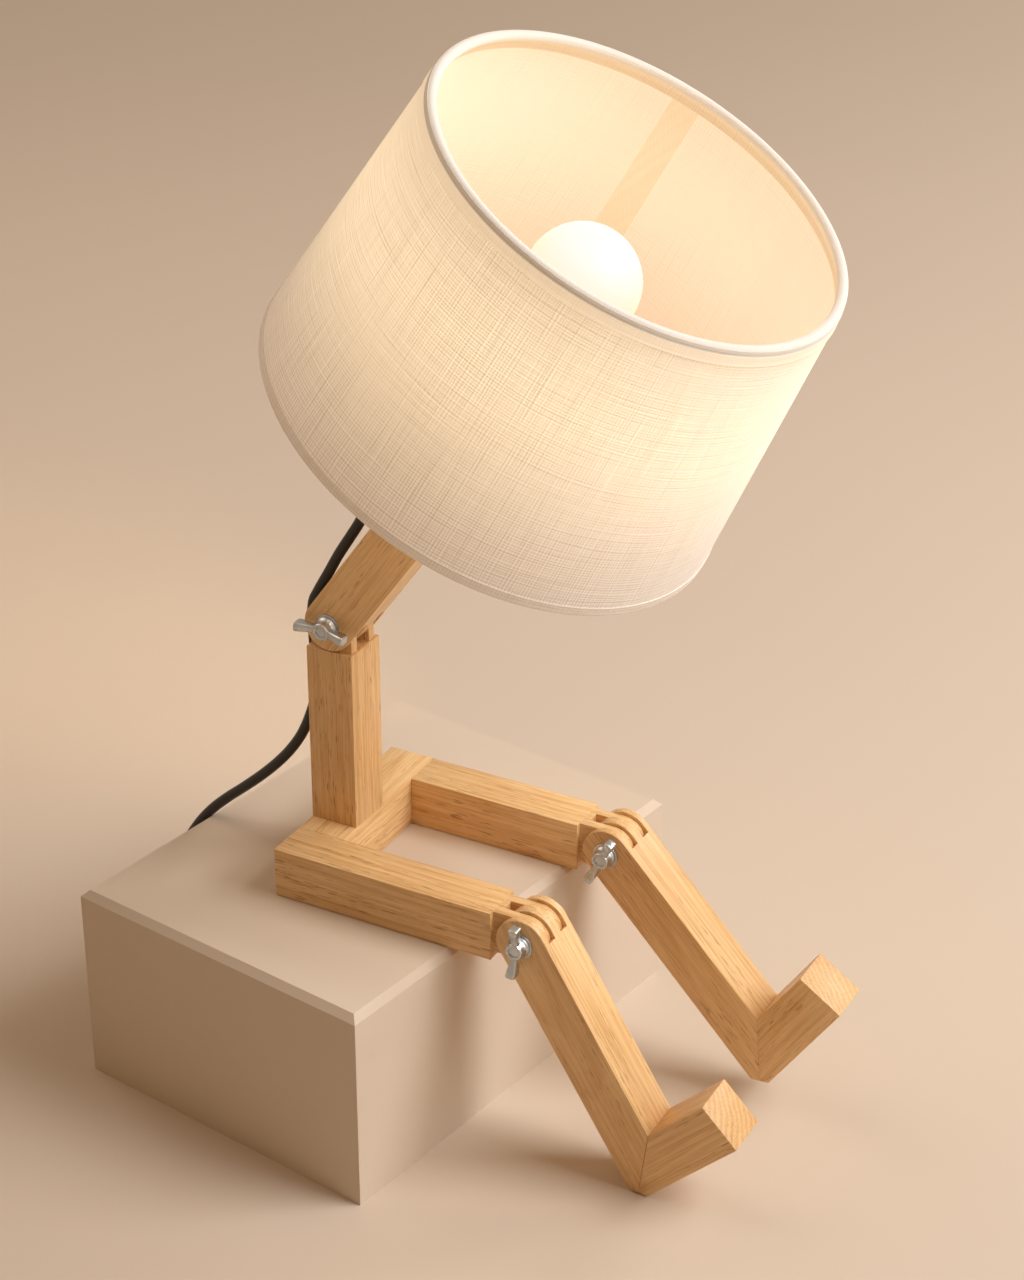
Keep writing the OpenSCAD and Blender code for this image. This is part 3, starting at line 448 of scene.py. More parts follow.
class Effects:
    """The node groups that several finishes share, each built once."""

    def __init__(self) -> None:
        """Builds the groups."""
        self.timber = self._timber()
        self.weave = self._weave()
        self.mottle = self._mottle()
        self.glow = self._glow()

    def _timber(self) -> bpy.types.NodeTree:
        """Timber: faint growth rings round a far pith, long streaks, fine fibres and short pores along X.

        Returns:
            The node group.
        """
        t, given, out = group("Timber figure", ("Ring", "Streak", "Fibre", "Pore", "Height"))
        p = given["Vector"]

        def drawn(along: float, across: float, shift: Triple, detail: float = 2.0, rough: float = 0.5) -> Socket:
            """Adds noise that is drawn out along X."""
            return t.noise(t.stretch(p, (along, across, across), shift), detail, rough)

        x, y, z = t.add("SeparateXYZ", {0: p}).outputs
        y = t.math("MULTIPLY_ADD", drawn(5, 26, (0, 0, 0)), 0.016, y)
        y = t.math("MULTIPLY_ADD", x, 0.035, y)
        across = t.add("CombineXYZ", {0: t.math("ADD", y, PITH[0]), 1: t.math("ADD", z, PITH[1])})
        radius = t.measure("LENGTH", across.outputs[0])
        radius = t.math("MULTIPLY_ADD", drawn(22, 120, (3, 1, 7)), 0.0016, radius)
        phase = t.math("FRACT", t.math("MULTIPLY", radius, 1 / RING_WIDTH))
        late = t.math("MULTIPLY", t.step(phase, 0.1, 0.85), t.step(phase, 0.85, 1.0, 1.0, 0.0))
        wide = drawn(8, 230, (2, 6, 3))
        thin = drawn(9, 760, (7, 1, 5), 3.0, 0.6)
        streak = t.math("MULTIPLY_ADD", thin, 0.7, t.math("MULTIPLY", wide, 0.3))
        fibre = drawn(40, 1700, (0, 5, 2), 2.0, 0.6)
        cluster = t.step(drawn(16, 150, (4, 4, 1), 1.0), 0.40, 0.66, 0.15, 1.0)
        pore = t.math("MULTIPLY", t.step(drawn(95, 1300, (9, 2, 4), 1.0, 0.4), 0.61, 0.68), cluster)
        height = t.math("SUBTRACT", t.math("MULTIPLY", fibre, 0.35), pore)
        t.fill(out, {"Ring": late, "Streak": streak, "Fibre": fibre, "Pore": pore, "Height": height})
        return t.tree

    def _weave(self) -> bpy.types.NodeTree:
        """Linen: two crossing sets of fine threads, each a wave across the map in metres.

        Slow noise shifts each wave and changes its strength, and thin long noise makes slubs.

        Returns:
            The node group.
        """
        t, given, out = group("Linen weave", ("Thread", "Slub", "Height"))
        p = given["Vector"]
        axes = t.add("SeparateXYZ", {0: p}).outputs
        waves, slubs = [], []
        for axis, drift, drive, thick in ((0, (260, 16, 0), (520, 22, 0), (1000, 13, 0)),
                                          (1, (16, 260, 0), (22, 520, 0), (13, 1000, 0))):
            shift = t.noise(t.stretch(p, drift, (5 * axis, 3, 0)), 1.0)
            turn = t.math("MULTIPLY_ADD", shift, 9.0, t.math("MULTIPLY", axes[axis], 2 * np.pi / THREAD_PITCH))
            strength = t.step(t.noise(t.stretch(p, drive, (2, 7 * axis, 0)), 1.0), 0.32, 0.66, 0.15, 1.0)
            waves.append(t.math("MULTIPLY", t.math("SINE", turn), strength))
            slubs.append(t.step(t.noise(t.stretch(p, thick, (1 + 6 * axis, 8, 0)), 0.0), 0.6, 0.76))
        thread = t.math("MULTIPLY_ADD", t.math("ADD", *waves), 0.25, 0.5)
        slub = t.math("MAXIMUM", *slubs)
        t.fill(out, {"Thread": thread, "Slub": slub, "Height": t.math("MULTIPLY_ADD", slub, 0.4, thread)})
        return t.tree

    def _mottle(self) -> bpy.types.NodeTree:
        """Mottle: soft cloudy wear and a fine grit, from a position and a scale.

        Returns:
            The node group.
        """
        t, given, out = group("Surface mottle", ("Cloud", "Grit"), Scale=40.0)
        scaled = t.add("VectorMath", {0: given["Vector"], 3: given["Scale"]}, operation="SCALE").outputs[0]
        t.fill(out, {"Cloud": t.noise(scaled, 3.0), "Grit": t.noise(scaled, 2.0, scale=34.0)})
        return t.tree

    def _glow(self) -> bpy.types.NodeTree:
        """Glow: painted light of the bulb on a wall, which falls with a power of the distance from its middle.

        Returns:
            The node group.
        """
        t, given, out = group("Bulb glow", ("Glow",), Near=0.12)
        far = t.measure("DISTANCE", given["Vector"], POSE.on_axis(POSE.bulb_z))
        t.fill(out, {"Glow": t.math("POWER", t.math("DIVIDE", given["Near"], far), 3.6)})
        return t.tree


EFFECTS = Effects()


@dataclass(frozen=True)
class Finish:
    """A surface finish: a name, a base colour and plain shader values."""

    name: str
    colour: Colour
    roughness: float = 0.5

    def make(self) -> bpy.types.Material:
        """Builds the material. Each kind of finish has its own way."""
        raise NotImplementedError

    def start(self, **values: float) -> tuple[Tree, bpy.types.Node, bpy.types.Material]:
        """Starts a material with a Principled shader.

        Args:
            values: socket values of the shader, with spaces written as underscores.

        Returns:
            The tree, the shader and the material.
        """
        material = bpy.data.materials.new(self.name)
        material.use_nodes = True
        material.node_tree.nodes.clear()
        t = Tree(material.node_tree)
        shader = t.add("BsdfPrincipled", {"Base Color": self.colour, "Roughness": self.roughness})
        t.fill(shader, {key.replace("_", " "): value for key, value in values.items()})
        t.add("OutputMaterial", {0: shader.outputs[0]})
        return t, shader, material

    def rough(self, t: Tree, value: Socket, below: float, above: float) -> Socket:
        """Adds a roughness that a value moves below and above the finish's own."""
        return t.step(value, 0.3, 0.7, self.roughness - below, self.roughness + above)

    def bump(self, t: Tree, height: Socket, strength: float, depth: float) -> Socket:
        """Adds a Bump node and returns its normal."""
        return t.add("Bump", {"Strength": strength, "Distance": depth, "Height": height}).outputs[0]


@dataclass(frozen=True)
class TimberFinish(Finish):
    """Oiled beech: pale early wood, honey streaks, brown pores and darker end grain."""

    late: Colour = (0.56, 0.27, 0.078)
    pore: Colour = (0.25, 0.085, 0.02)
    own_grain: bool = True

    def make(self) -> bpy.types.Material:
        """Builds the material from the timber group.

        Returns:
            The material.
        """
        t, shader, material = self.start(Coat_Weight=0.18, Coat_Roughness=0.32, Specular_IOR_Level=0.4)
        where = t.add("Attribute", attribute_name=GRAIN).outputs["Vector"] if self.own_grain else t.place()
        figure = t.effect(EFFECTS.timber, where)
        cloud = t.noise(t.stretch(where, (7, 20, 20)))
        end = t.add("Attribute", attribute_name=END).outputs["Fac"]
        streak = t.step(figure["Streak"], 0.41, 0.66, 0.07, 0.48)
        shade = t.math("MULTIPLY", streak, t.step(end, 0.0, 1.0, 1.0, 0.5))
        shade = t.math("MULTIPLY_ADD", figure["Ring"], t.step(end, 0.0, 1.0, 0.16, 0.3), shade)
        shade = t.math("MULTIPLY_ADD", end, 0.2, shade)
        shade = t.math("ADD", shade, t.step(figure["Fibre"], 0.35, 0.7, -0.1, 0.16))
        shade = t.math("ADD", shade, t.step(cloud, 0.35, 0.7, -0.14, 0.14))
        colour = t.blend(t.math("MINIMUM", t.math("MAXIMUM", shade, 0.0), 1.0), self.colour, self.late)
        t.fill(shader, {
            "Base Color": t.blend(t.math("MULTIPLY", figure["Pore"], 0.62), colour, self.pore),
            "Roughness": self.rough(t, figure["Fibre"], 0.06, 0.1),
            "Normal": self.bump(t, figure["Height"], 0.35, 0.00022)})
        return material


@dataclass(frozen=True)
class MottledFinish(Finish):
    """Moulded plastic, rubber, paint or porcelain: a cloudy second colour and a fine grit.

    The cloud pair is where the second colour starts and how much of it there is, and the spread pair is how
    far the roughness falls and rises.
    """

    tint: Colour = (0.1, 0.1, 0.1)
    scale: float = 60.0
    sheen: float = 0.0
    metallic: float = 0.0
    cloud: tuple[float, float] = (0.4, 0.6)
    spread: tuple[float, float] = (0.08, 0.08)
    depth: float = 0.0001

    def make(self) -> bpy.types.Material:
        """Builds the material from the mottle group.

        Returns:
            The material.
        """
        t, shader, material = self.start(Metallic=self.metallic, Sheen_Weight=self.sheen, Sheen_Roughness=0.4)
        wear = t.effect(EFFECTS.mottle, t.place(), Scale=self.scale)
        begin, share = self.cloud
        t.fill(shader, {
            "Base Color": t.blend(t.step(wear["Cloud"], begin, 0.75, 0.0, share), self.colour, self.tint),
            "Roughness": self.rough(t, wear["Cloud"], *self.spread),
            "Normal": self.bump(t, wear["Grit"], 0.12, self.depth)})
        return material


@dataclass(frozen=True)
class MetalFinish(MottledFinish):
    """Plated or bare metal with cloudy wear and a fine grit."""

    scale: float = 90.0
    metallic: float = 1.0
    cloud: tuple[float, float] = (0.45, 0.5)
    spread: tuple[float, float] = (0.07, 0.1)
    depth: float = 0.00008


@dataclass(frozen=True)
class ClothFinish(Finish):
    """Woven cloth with threads, slubs and a warm glow painted as emission for the bulb's light through it."""

    thread: Colour = (0.6, 0.5, 0.4)
    # Colours of the painted glow: warm near the bulb, dim far from it, and how much of it the gaps and threads
    # let through
    warm: Colour = (0.95, 0.715, 0.44)
    dim: Colour = (0.10, 0.05, 0.05)
    strength: float = 1.0
    contrast: float = 1.0
    depth: float = 0.00035
    near: float = 0.115
    mapped: bool = True
    gap_glow: Colour = (1.11, 1.11, 1.11)
    thread_glow: Colour = (0.56, 0.555, 0.51)

    def make(self) -> bpy.types.Material:
        """Builds the material from the weave and glow groups.

        Returns:
            The material.
        """
        t, shader, material = self.start(Sheen_Weight=0.15, Sheen_Roughness=0.6, Specular_IOR_Level=0.15,
                                         Emission_Strength=self.strength)
        weave = t.effect(EFFECTS.weave, t.add("UVMap", uv_map=CLOTH).outputs[0] if self.mapped else t.place())
        glow = t.effect(EFFECTS.glow, t.place(), Near=self.near)
        dark = t.step(weave["Thread"], 0.74, 0.22, 0.0, 0.9 * self.contrast)
        dark = t.math("MINIMUM", t.math("MULTIPLY_ADD", weave["Slub"], 0.2 * self.contrast, dark), 1.0)
        # Painted light: emission that stands for the bulb's light through the cloth, fading with distance and
        # dimmer on threads and slubs
        painted_glow = t.blend(glow["Glow"], self.dim, self.warm)
        through = t.blend(dark, self.gap_glow, self.thread_glow)
        t.fill(shader, {
            "Base Color": t.blend(dark, self.colour, self.thread),
            "Emission Color": t.blend(1.0, painted_glow, through, "MULTIPLY"),
            "Roughness": self.rough(t, weave["Thread"], 0.05, 0.05),
            "Normal": self.bump(t, weave["Height"], 0.6 * self.contrast, self.depth)})
        return material


@dataclass(frozen=True)
class BulbFinish(Finish):
    """Lit opal glass, brightest on its crown and warmer towards its neck."""

    crown: Colour = (0.95, 0.94, 0.89)
    neck: Colour = (0.90, 0.76, 0.46)
    from_crown: float = 0.015
    to_neck: float = 0.058

    def make(self) -> bpy.types.Material:
        """Builds the material with a glow that fades from the crown to the neck.

        Returns:
            The material.
        """
        t, shader, material = self.start(Emission_Strength=1.0, Coat_Weight=0.04)
        far = t.measure("DISTANCE", t.place(), POSE.on_axis(POSE.crown_z))
        far = t.math("MULTIPLY_ADD", t.effect(EFFECTS.mottle, t.place(), Scale=30.0)["Cloud"], 0.004, far)
        share = t.step(far, self.from_crown, self.to_neck)
        t.fill(shader, {"Emission Color": t.blend(share, self.crown, self.neck)})
        return material


@dataclass(frozen=True)
class GroundFinish(Finish):
    """Plain pale ground, faintly uneven, which seen rays meet as an even backdrop far away."""

    tint: Colour = (0.5, 0.4, 0.3)
    haze_from: float = 1.6
    haze_to: float = 4.2

    def make(self) -> bpy.types.Material:
        """Builds the material from the mottle group.

        Returns:
            The material.
        """
        t, shader, material = self.start(Specular_IOR_Level=0.2)
        cloud = t.effect(EFFECTS.mottle, t.place(), Scale=3.0)["Cloud"]
        t.fill(shader, {"Base Color": t.blend(t.step(cloud, 0.3, 0.8, 0.0, 0.25), self.colour, self.tint)})
        far = t.measure("LENGTH", t.place())
        share = t.math("MULTIPLY", t.step(far, self.haze_from, self.haze_to), t.seen())
        pale = t.add("Emission", {"Color": BACKDROP})
        both = t.add("MixShader", {0: share, 1: shader.outputs[0], 2: pale.outputs[0]})
        t.fill(t.tree.nodes["Material Output"], {0: both.outputs[0]})
        return material


class Finishes:
    """All the lamp's materials, by the record's slot or by the name of a single piece or part of it."""

    def __init__(self) -> None:
        """Builds the materials."""
        looks: dict[str, Finish] = {
            "beech": TimberFinish("oiled beech", (0.875, 0.607, 0.31), 0.42),
            "dowel_beech": TimberFinish("raw dowel", (0.66, 0.45, 0.26), 0.6, own_grain=False),
            "zinc": MetalFinish("zinc plate", (0.545, 0.58, 0.61), 0.3, (0.42, 0.445, 0.465)),
            "brass": MetalFinish("plain brass", (0.78, 0.57, 0.26), 0.34, (0.55, 0.38, 0.17)),
            "black_plastic": MottledFinish("black moulding", (0.018, 0.018, 0.018), 0.42, (0.03, 0.029, 0.028)),
            "cord_rubber": MottledFinish("black flex", (0.012, 0.011, 0.01), 0.46, (0.022, 0.02, 0.018),
                                         sheen=0.1),
            "white_wire": MottledFinish("white coated wire", (0.84, 0.8, 0.72), 0.4, (0.78, 0.72, 0.62)),
            "porcelain": MottledFinish("bisque porcelain", (0.84, 0.82, 0.76), 0.5, (0.78, 0.75, 0.68)),
            # The cloth finishes below carry a painted glow of the bulb as emission
            "liner_film": ClothFinish("lit liner", (0.66, 0.60, 0.50), 0.6, (0.6, 0.53, 0.42),
                                      (0.575, 0.415, 0.31), (0.335, 0.224, 0.152), contrast=0.35, near=0.118),
            "linen": ClothFinish("slubbed linen", (0.625, 0.63, 0.655), 0.85, (0.485, 0.47, 0.465), contrast=0.8),
            "binding": ClothFinish("white binding", (0.73, 0.72, 0.705), 0.75, (0.64, 0.62, 0.6),
                                   strength=0.25, contrast=0.3),
            "opal_glass": BulbFinish("lit opal", (0.07, 0.065, 0.05), 0.5),
            "rocker_plastic": MottledFinish("rocker plastic", (0.03, 0.03, 0.03), 0.3, (0.05, 0.048, 0.045)),
            "seam_strip": ClothFinish("liner seam", (0.60, 0.52, 0.41), 0.7, (0.55, 0.46, 0.35),
                                      (0.58, 0.385, 0.24), (0.33, 0.21, 0.12), contrast=0.2, mapped=False),
            "low_binding": ClothFinish("beige binding", (0.71, 0.685, 0.65), 0.8, (0.6, 0.57, 0.53),
                                       strength=0.55, contrast=0.6),
            # Shaded copies of the binding cloth for the upper binding's inner fold and hem: painted shade, greyer
            # on the hem and darker and warmer on the fold, each with a stronger painted glow than the bead
            "fold": ClothFinish("inner fold", (0.59, 0.49, 0.35), 0.8, (0.51, 0.42, 0.3),
                                strength=0.5, contrast=0.4),
            "hem": ClothFinish("folded hem", (0.61, 0.595, 0.58), 0.85, (0.5, 0.47, 0.44),
                               strength=0.9, contrast=0.4),
        }
        self.made = {key: look.make() for key, look in looks.items()}

    def dress(self, piece: Piece, node: str) -> Piece:
        """Gives a piece the material of a node, as its only one.

        Args:
            piece: the piece or CAD node's object.
            node: name of the CAD node whose finish it takes.

        Returns:
            The same piece.
        """
        material = self.made.get(node) or self.made[SLOTS[node]]
        piece.data.materials.clear()
        piece.data.materials.append(material)
        log.info("%s: %s, %d faces", piece.name, material.name, len(piece.data.polygons))
        return piece

    def stand(self, piece: Piece, node: str) -> Piece:
        """Lets a piece ride on a node's body, stand in for the hidden node and take the node's finish.

        Args:
            piece: the new piece.
            node: the CAD node's name.

        Returns:
            The same piece.
        """
        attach(piece, frame["nodes"][node]["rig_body"])
        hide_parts(node)
        return self.dress(piece, node)


# Sub-assemblies


@dataclass(frozen=True)
class SoftLight:
    """A square soft light: where it hangs, what it faces, its side in metres, its watts and its colour."""

    name: str
    place: Triple
    aim: Triple
    size: float
    power: float
    colour: Colour


@dataclass
class View:
    """The camera at the photograph's place, and the plain stage with its lights."""

    place: Triple = (0.73246, -1.17445, 0.86887)
    right: Triple = (0.8808, 0.4735, 0.0008)
    down: Triple = (0.2225, -0.4125, -0.8834)
    focal: float = 2800.0
    height: float = 1280.0
    sensor: float = 36.0
    ledge_corner: tuple[float, float] = (-114.7, -114.0)
    ledge_size: tuple[float, float] = (204.0, 284.0)
    ledge_turn: float = -9.3
    pool_at: Triple = (-0.39, 0.255, -0.125)
    pool_cone: float = 40.0
    pool: tuple[float, Colour] = (9.0, (1.0, 0.67, 0.38))
    inside: tuple[float, Colour] = (0.10, (1.0, 0.74, 0.45))
    fill: tuple[float, Colour] = (0.24, (1.0, 0.60, 0.31))
    soft: tuple[SoftLight, ...] = (
        SoftLight("key", (1.85, 0.5, 1.9), (0.08, 0.0, 0.1), 1.5, 58.0, (1.0, 0.985, 0.96)),
        SoftLight("side", (2.4, 0.2, 0.62), (0.05, 0.0, 0.08), 0.9, 4.0, (1.0, 0.97, 0.93)),
        SoftLight("left", (-1.75, 0.1, 1.7), (0.05, 0.0, 0.25), 1.6, 12.0, (1.0, 0.9, 0.76)),
        SoftLight("back_wash", (1.9, 3.6, 1.8), (1.2, 3.2, -0.12), 1.6, 62.0, (1.0, 0.97, 0.93)))

    def camera(self) -> None:
        """Makes the camera from its right and down directions."""
        data = bpy.data.cameras.new("photo_camera")
        data.sensor_fit = "VERTICAL"
        data.sensor_height = data.sensor_width = self.sensor
        data.lens = self.focal / self.height * self.sensor
        data.clip_start, data.clip_end = 0.05, 60.0
        x, y = Vector(self.right).normalized(), -Vector(self.down).normalized()
        camera = link("photo_camera", data)
        camera.matrix_world = Matrix.Translation(self.place) @ Matrix((x, y, x.cross(y))).transposed().to_4x4()
        bpy.context.scene.camera = camera

    def stage(self) -> None:
        """Makes the floor and the ledge that the seat rests on."""
        z = POSE.floor_z * MM
        sign = np.array([[-1, -1], [1, -1], [1, 1], [-1, 1]])
        corner = np.concatenate([sign * FLOOR_HALF, np.full((4, 1), z)], 1)
        floor = new_piece("floor", corner, [[0, 1, 2, 3]], smooth=False)
        inset = np.array([0, 0, 0.3, 0.7, 1.0]) * LEDGE_SOFT
        level = np.array([z, *(LEDGE_TOP - LEDGE_SOFT * np.array([1.0, 0.7, 0.3, 0.0]))])
        half = np.array(self.ledge_size) / 2 * MM
        a = math.radians(self.ledge_turn)
        turn = np.array([[math.cos(a), -math.sin(a)], [math.sin(a), math.cos(a)]])
        flat = np.array(self.ledge_corner) * MM + (half + sign[None] * (half - inset[:, None, None])) @ turn.T
        rings = np.concatenate([flat, np.broadcast_to(level[:, None, None], (5, 4, 1))], -1).reshape(-1, 3)
        ledge = new_piece("ledge", rings, grid_faces(5, 4, False).tolist() + [[16, 17, 18, 19]], smooth=False)
        ground = GroundFinish("pale ground", (0.69, 0.59, 0.49), 0.8, (0.66, 0.56, 0.46)).make()
        for piece in (floor, ledge):
            piece.data.materials.append(ground)

    def hang(self, data: bpy.types.Light, place: Triple, aim: Triple, power: float, colour: Colour) -> Piece:
        """Hangs a light at a place, facing a point.

        Args:
            data: the light's own data.
            place: where it hangs, in metres.
            aim: the point that it faces.
            power: its power in watts.
            colour: its colour.

        Returns:
            The linked light.
        """
        data.energy, data.color = power, colour
        light = link(data.name, data)
        light.location = place
        light.rotation_mode = "QUATERNION"
        light.rotation_quaternion = (Vector(aim) - Vector(place)).to_track_quat("-Z", "Y")
        return light

    def lights(self) -> None:
        """Makes the soft lights and the bulb's own two, which ride on the head."""
        for soft in self.soft:
            data = bpy.data.lights.new(soft.name, "AREA")
            data.size = soft.size
            self.hang(data, soft.place, soft.aim, soft.power, soft.colour)
        pool = bpy.data.lights.new("bulb_pool", "SPOT")
        pool.spot_size, pool.spot_blend = math.radians(self.pool_cone), 1.0
        inside = bpy.data.lights.new("bulb_light", "POINT")
        for data, (power, colour) in ((pool, self.pool), (inside, self.inside)):
            data.shadow_soft_size = BULB_SOFT
            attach(self.hang(data, POSE.on_axis(POSE.bulb_z), self.pool_at, power, colour), "head")

    def surroundings(self) -> None:
        """Makes the world: a warm fill, which seen rays meet as the pale backdrop."""
        world = bpy.data.worlds.new("surroundings")
        bpy.context.scene.world = world
        world.use_nodes = True
        world.node_tree.nodes.clear()
        t = Tree(world.node_tree)
        strength, colour = self.fill
        plain = t.add("Background", {"Color": colour, "Strength": strength})
        pale = t.add("Background", {"Color": BACKDROP, "Strength": 1.0})
        both = t.add("MixShader", {0: t.seen(), 1: plain.outputs[0], 2: pale.outputs[0]})
        t.add("OutputWorld", {0: both.outputs[0]})


@dataclass
class Flex:
    """The black cord from the arm to its plug, with the tapered sleeves and the pieces on it."""

    finishes: Finishes
    diameter: float = 6.2
    channel_l: float = 32.0
    bushing_in: float = 12.0
    bushing_out: float = 22.0
    bore_depth: float = 12.0
    channel_turn: float = 30.0
    channel_d: float = 9.0
    lane_x: float = -111.0
    switch_y: float = 16.0
    switch_l: float = 62.0
    switch_h: float = 15.0
    sleeve_l: float = 20.0
    sleeve_d: float = 10.0
    sleeve_rim: float = 0.5
    sleeve_grip: float = 0.2
    ribs: int = 6
    groove: float = 0.28
    coil_y: float = 110.0
    coil_turns: float = 2.25
    coil_gap: float = 0.6
    coil_dip: float = 1.2
    coil_core: float = 4.15
    coil_lift: float = 1.5
    coil_step: float = 7.5
    tail_l: float = 46.0
    plug_t: float = 14.0
    drop: list[Triple] = field(default_factory=lambda: [
        (28, -9, 247.2), (23.7, -9, 241.6), (21.2, -9, 236), (18.6, -9, 228.5), (13.9, -9, 217.3),
        (6, -9, 204.1), (-1, -9, 192.8), (-7.4, -9, 181), (-14.6, -9, 168.1), (-18.3, -8.8, 160.6),
        (-19.6, -8.5, 152.4), (-19.8, -8, 142), (-19.6, -7.3, 127), (-19.4, -7, 112),
        (-20.6, -7.2, 98), (-24.6, -8, 84), (-29.8, -8.6, 72), (-36.3, -9, 61.5), (-44.5, -9, 51.2),
        (-57.5, -9, 37.6), (-71, -9, 25.2), (-84, -9.2, 13.8), (-94, -9.8, 4), (-102, -11.5, -6),
        (-108, -15, -16.8), (-111, -21, -28), (-111.4, -34, -43.7), (-111.1, -47.5, -56.4),
        (-111, -60.3, -67.4), (-111, -65.3, -73.2), (-111, -68.6, -80.2), (-111, -69.8, -88.5),
        (-111, -68.4, -97.3), (-111, -64.3, -105.3), (-111, -58, -111.6), (-111, -50, -115.7)])
    eased: dict[str, float] = field(default_factory=lambda: {
        "switch_base": 0.8, "switch_cover": 0.8, "switch_rocker": 0.5, "plug_body": 1.6, "coil_tie": 0.4})

    def channel_point(self, s: float) -> Array:
        """Point of the slanting cord channel.

        Args:
            s: how far it is below the end of the holder's bore, in millimetres.

        Returns:
            The point in millimetres.
        """
        kink = math.radians(POSE.arm_tilt - POSE.shade_tilt)
        turn = math.radians(self.channel_turn)
        return POSE.from_arm(self.bore_depth * math.sin(kink) - s * math.sin(turn),
                             POSE.arm_l - self.bore_depth * math.cos(kink) - s * math.cos(turn))

    def on_lane(self, y: Array, z: Array | float) -> Array:
        """Points of the straight lane behind the ledge, at the given places along it and heights."""
        return np.stack(np.broadcast_arrays(self.lane_x, y, z), -1)

    def switch_z(self) -> float:
        """Height of the cord in the switch."""
        return POSE.floor_z + self.switch_h / 2

    def plug_z(self) -> float:
        """Height of the cord in the plug."""
        return POSE.floor_z + self.plug_t / 2

    def coil(self) -> Array:
        """Middle line of the run, the two-layer coil and the tail to the plug.

        The radius falls by a pitch each turn in the lower layer, dips while the cord climbs over half a
        turn, and grows by a pitch each turn in the upper layer.

        Returns:
            N by 3 array in millimetres.
        """
        pitch = self.diameter + self.coil_gap
        inner = self.coil_core * self.diameter
        outer = inner + self.coil_turns * pitch
        low = POSE.floor_z + self.coil_lift + self.diameter / 2
        down = 360 * self.coil_turns
        a = np.arange(0, 2 * down + 180 + 1, self.coil_step)
        radius = np.where(a <= down, outer - pitch * a / 360,
                          np.where(a < down + 180, inner - self.coil_dip * np.sin(np.radians(a - down)),
                                   inner + pitch * (a - down - 180) / 360))
        turns = np.stack([self.lane_x - outer + radius * np.cos(np.radians(a)),
                          self.coil_y + radius * np.sin(np.radians(a)),
                          low + pitch * smooth_step((a - down) / 180)], -1)
        start = self.switch_y + self.switch_l / 2 + self.sleeve_l
        s = np.linspace(0, 0.9, 8)
        run = self.on_lane(start + s * (self.coil_y - start),
                           self.switch_z() + (low - self.switch_z()) * smooth_step((s - 0.07) / 0.58))
        s = np.linspace(0.1, 1, 10)
        tail = self.on_lane(self.coil_y + s * self.tail_l,
                            low + pitch + (self.plug_z() - low - pitch) * smooth_step((s - 0.13) / 0.76))
        return np.concatenate([run, turns, tail])

    def route(self) -> Array:
        """The whole middle line as close points, in metres.

        Between two points the line is a cubic. Its slope at a point is the mean of the two steps that meet
        there, each weighted by the length of the other.

        Returns:
            N by 3 array.
        """
        mouth = self.channel_l + self.bushing_out
        entry = self.switch_y - self.switch_l / 2 - self.sleeve_l
        level = self.on_lane(entry + np.array([-self.diameter, 0, 20, 51, 82]), self.switch_z())
        points = np.concatenate([
            [self.channel_point(mouth), self.channel_point(mouth + self.diameter)],
            np.array(self.drop, float), level, self.coil()])
        span = np.linalg.norm(np.diff(points, axis=0), axis=1)[:, None]
        rate = np.diff(points, axis=0) / span
        inner = (span[1:] * rate[:-1] + span[:-1] * rate[1:]) / (span[1:] + span[:-1])
        slope = np.concatenate([rate[:1], inner, rate[-1:]])
        t = np.linspace(0, 1, 4, endpoint=False)[None, :, None]
        p0, p1 = points[:-1, None], points[1:, None]
        m0, m1 = (slope[:-1] * span)[:, None], (slope[1:] * span)[:, None]
        curve = ((2 * t**3 - 3 * t**2 + 1) * p0 + (t**3 - 2 * t**2 + t) * m0
                 + (3 * t**2 - 2 * t**3) * p1 + (t**3 - t**2) * m1)
        return np.concatenate([curve.reshape(-1, 3), points[-1:]]) * MM

    def tube(self, path: Array) -> Piece:
        """Round tube along a path, made from a curve so that its rings don't twist.

        Args:
            path: the middle line in metres.

        Returns:
            The linked object.
        """
        data = bpy.data.curves.new("flex_line", "CURVE")
        data.dimensions = "3D"
        data.bevel_depth = self.diameter / 2 * MM
        data.bevel_resolution = 4
        data.use_fill_caps = True
        data.twist_mode = "MINIMUM"
        spline = data.splines.new("POLY")
        spline.points.add(len(path) - 1)
        spline.points.foreach_set("co", np.concatenate([path, np.ones((len(path), 1))], 1).ravel())
        line = link("flex_line", data)
        bpy.context.view_layer.update()
        mesh = bpy.data.meshes.new_from_object(line.evaluated_get(bpy.context.evaluated_depsgraph_get()))
        bpy.data.objects.remove(line)
        mesh.name = "flex"
        mesh.polygons.foreach_set("use_smooth", np.ones(len(mesh.polygons), bool))
        return link("flex", mesh)

    def sleeve(self, name: str, base: Array, axis: Triple, length: float, wide: float, plain: float) -> Piece:
        """Tapered strain relief with shallow ribs, turned from an outline.

        Args:
            name: the piece's name.
            base: middle of its wide end, in millimetres.
            axis: the way it tapers.
            length: its length.
            wide: diameter of its wide end.
            plain: share of its length, from the wide end, that has no groove.

        Returns:
            The linked object.
        """
        r = self.diameter / 2
        s = np.linspace(0, 1, 70)
        taper = wide / 2 + (r + self.sleeve_rim - wide / 2) * s
        wave = np.where(s > plain, np.cos((s - plain) / (1 - plain) * self.ribs * 2 * np.pi), 1.0)
        outer = np.stack([taper - self.groove * (1 - wave) * np.clip((0.97 - s) * 20, 0, 1), s * length], -1)
        hole = np.array([[r - self.sleeve_grip, length], [r - self.sleeve_grip, 0.0]])
        place = np.eye(4)
        place[:3, :3] = np.array(Vector((0, 0, 1)).rotation_difference(Vector(axis)).to_matrix())
        place[:3, 3] = base
        return lathe_piece(name, np.concatenate([outer, hole]), SLEEVE_STEPS, place)

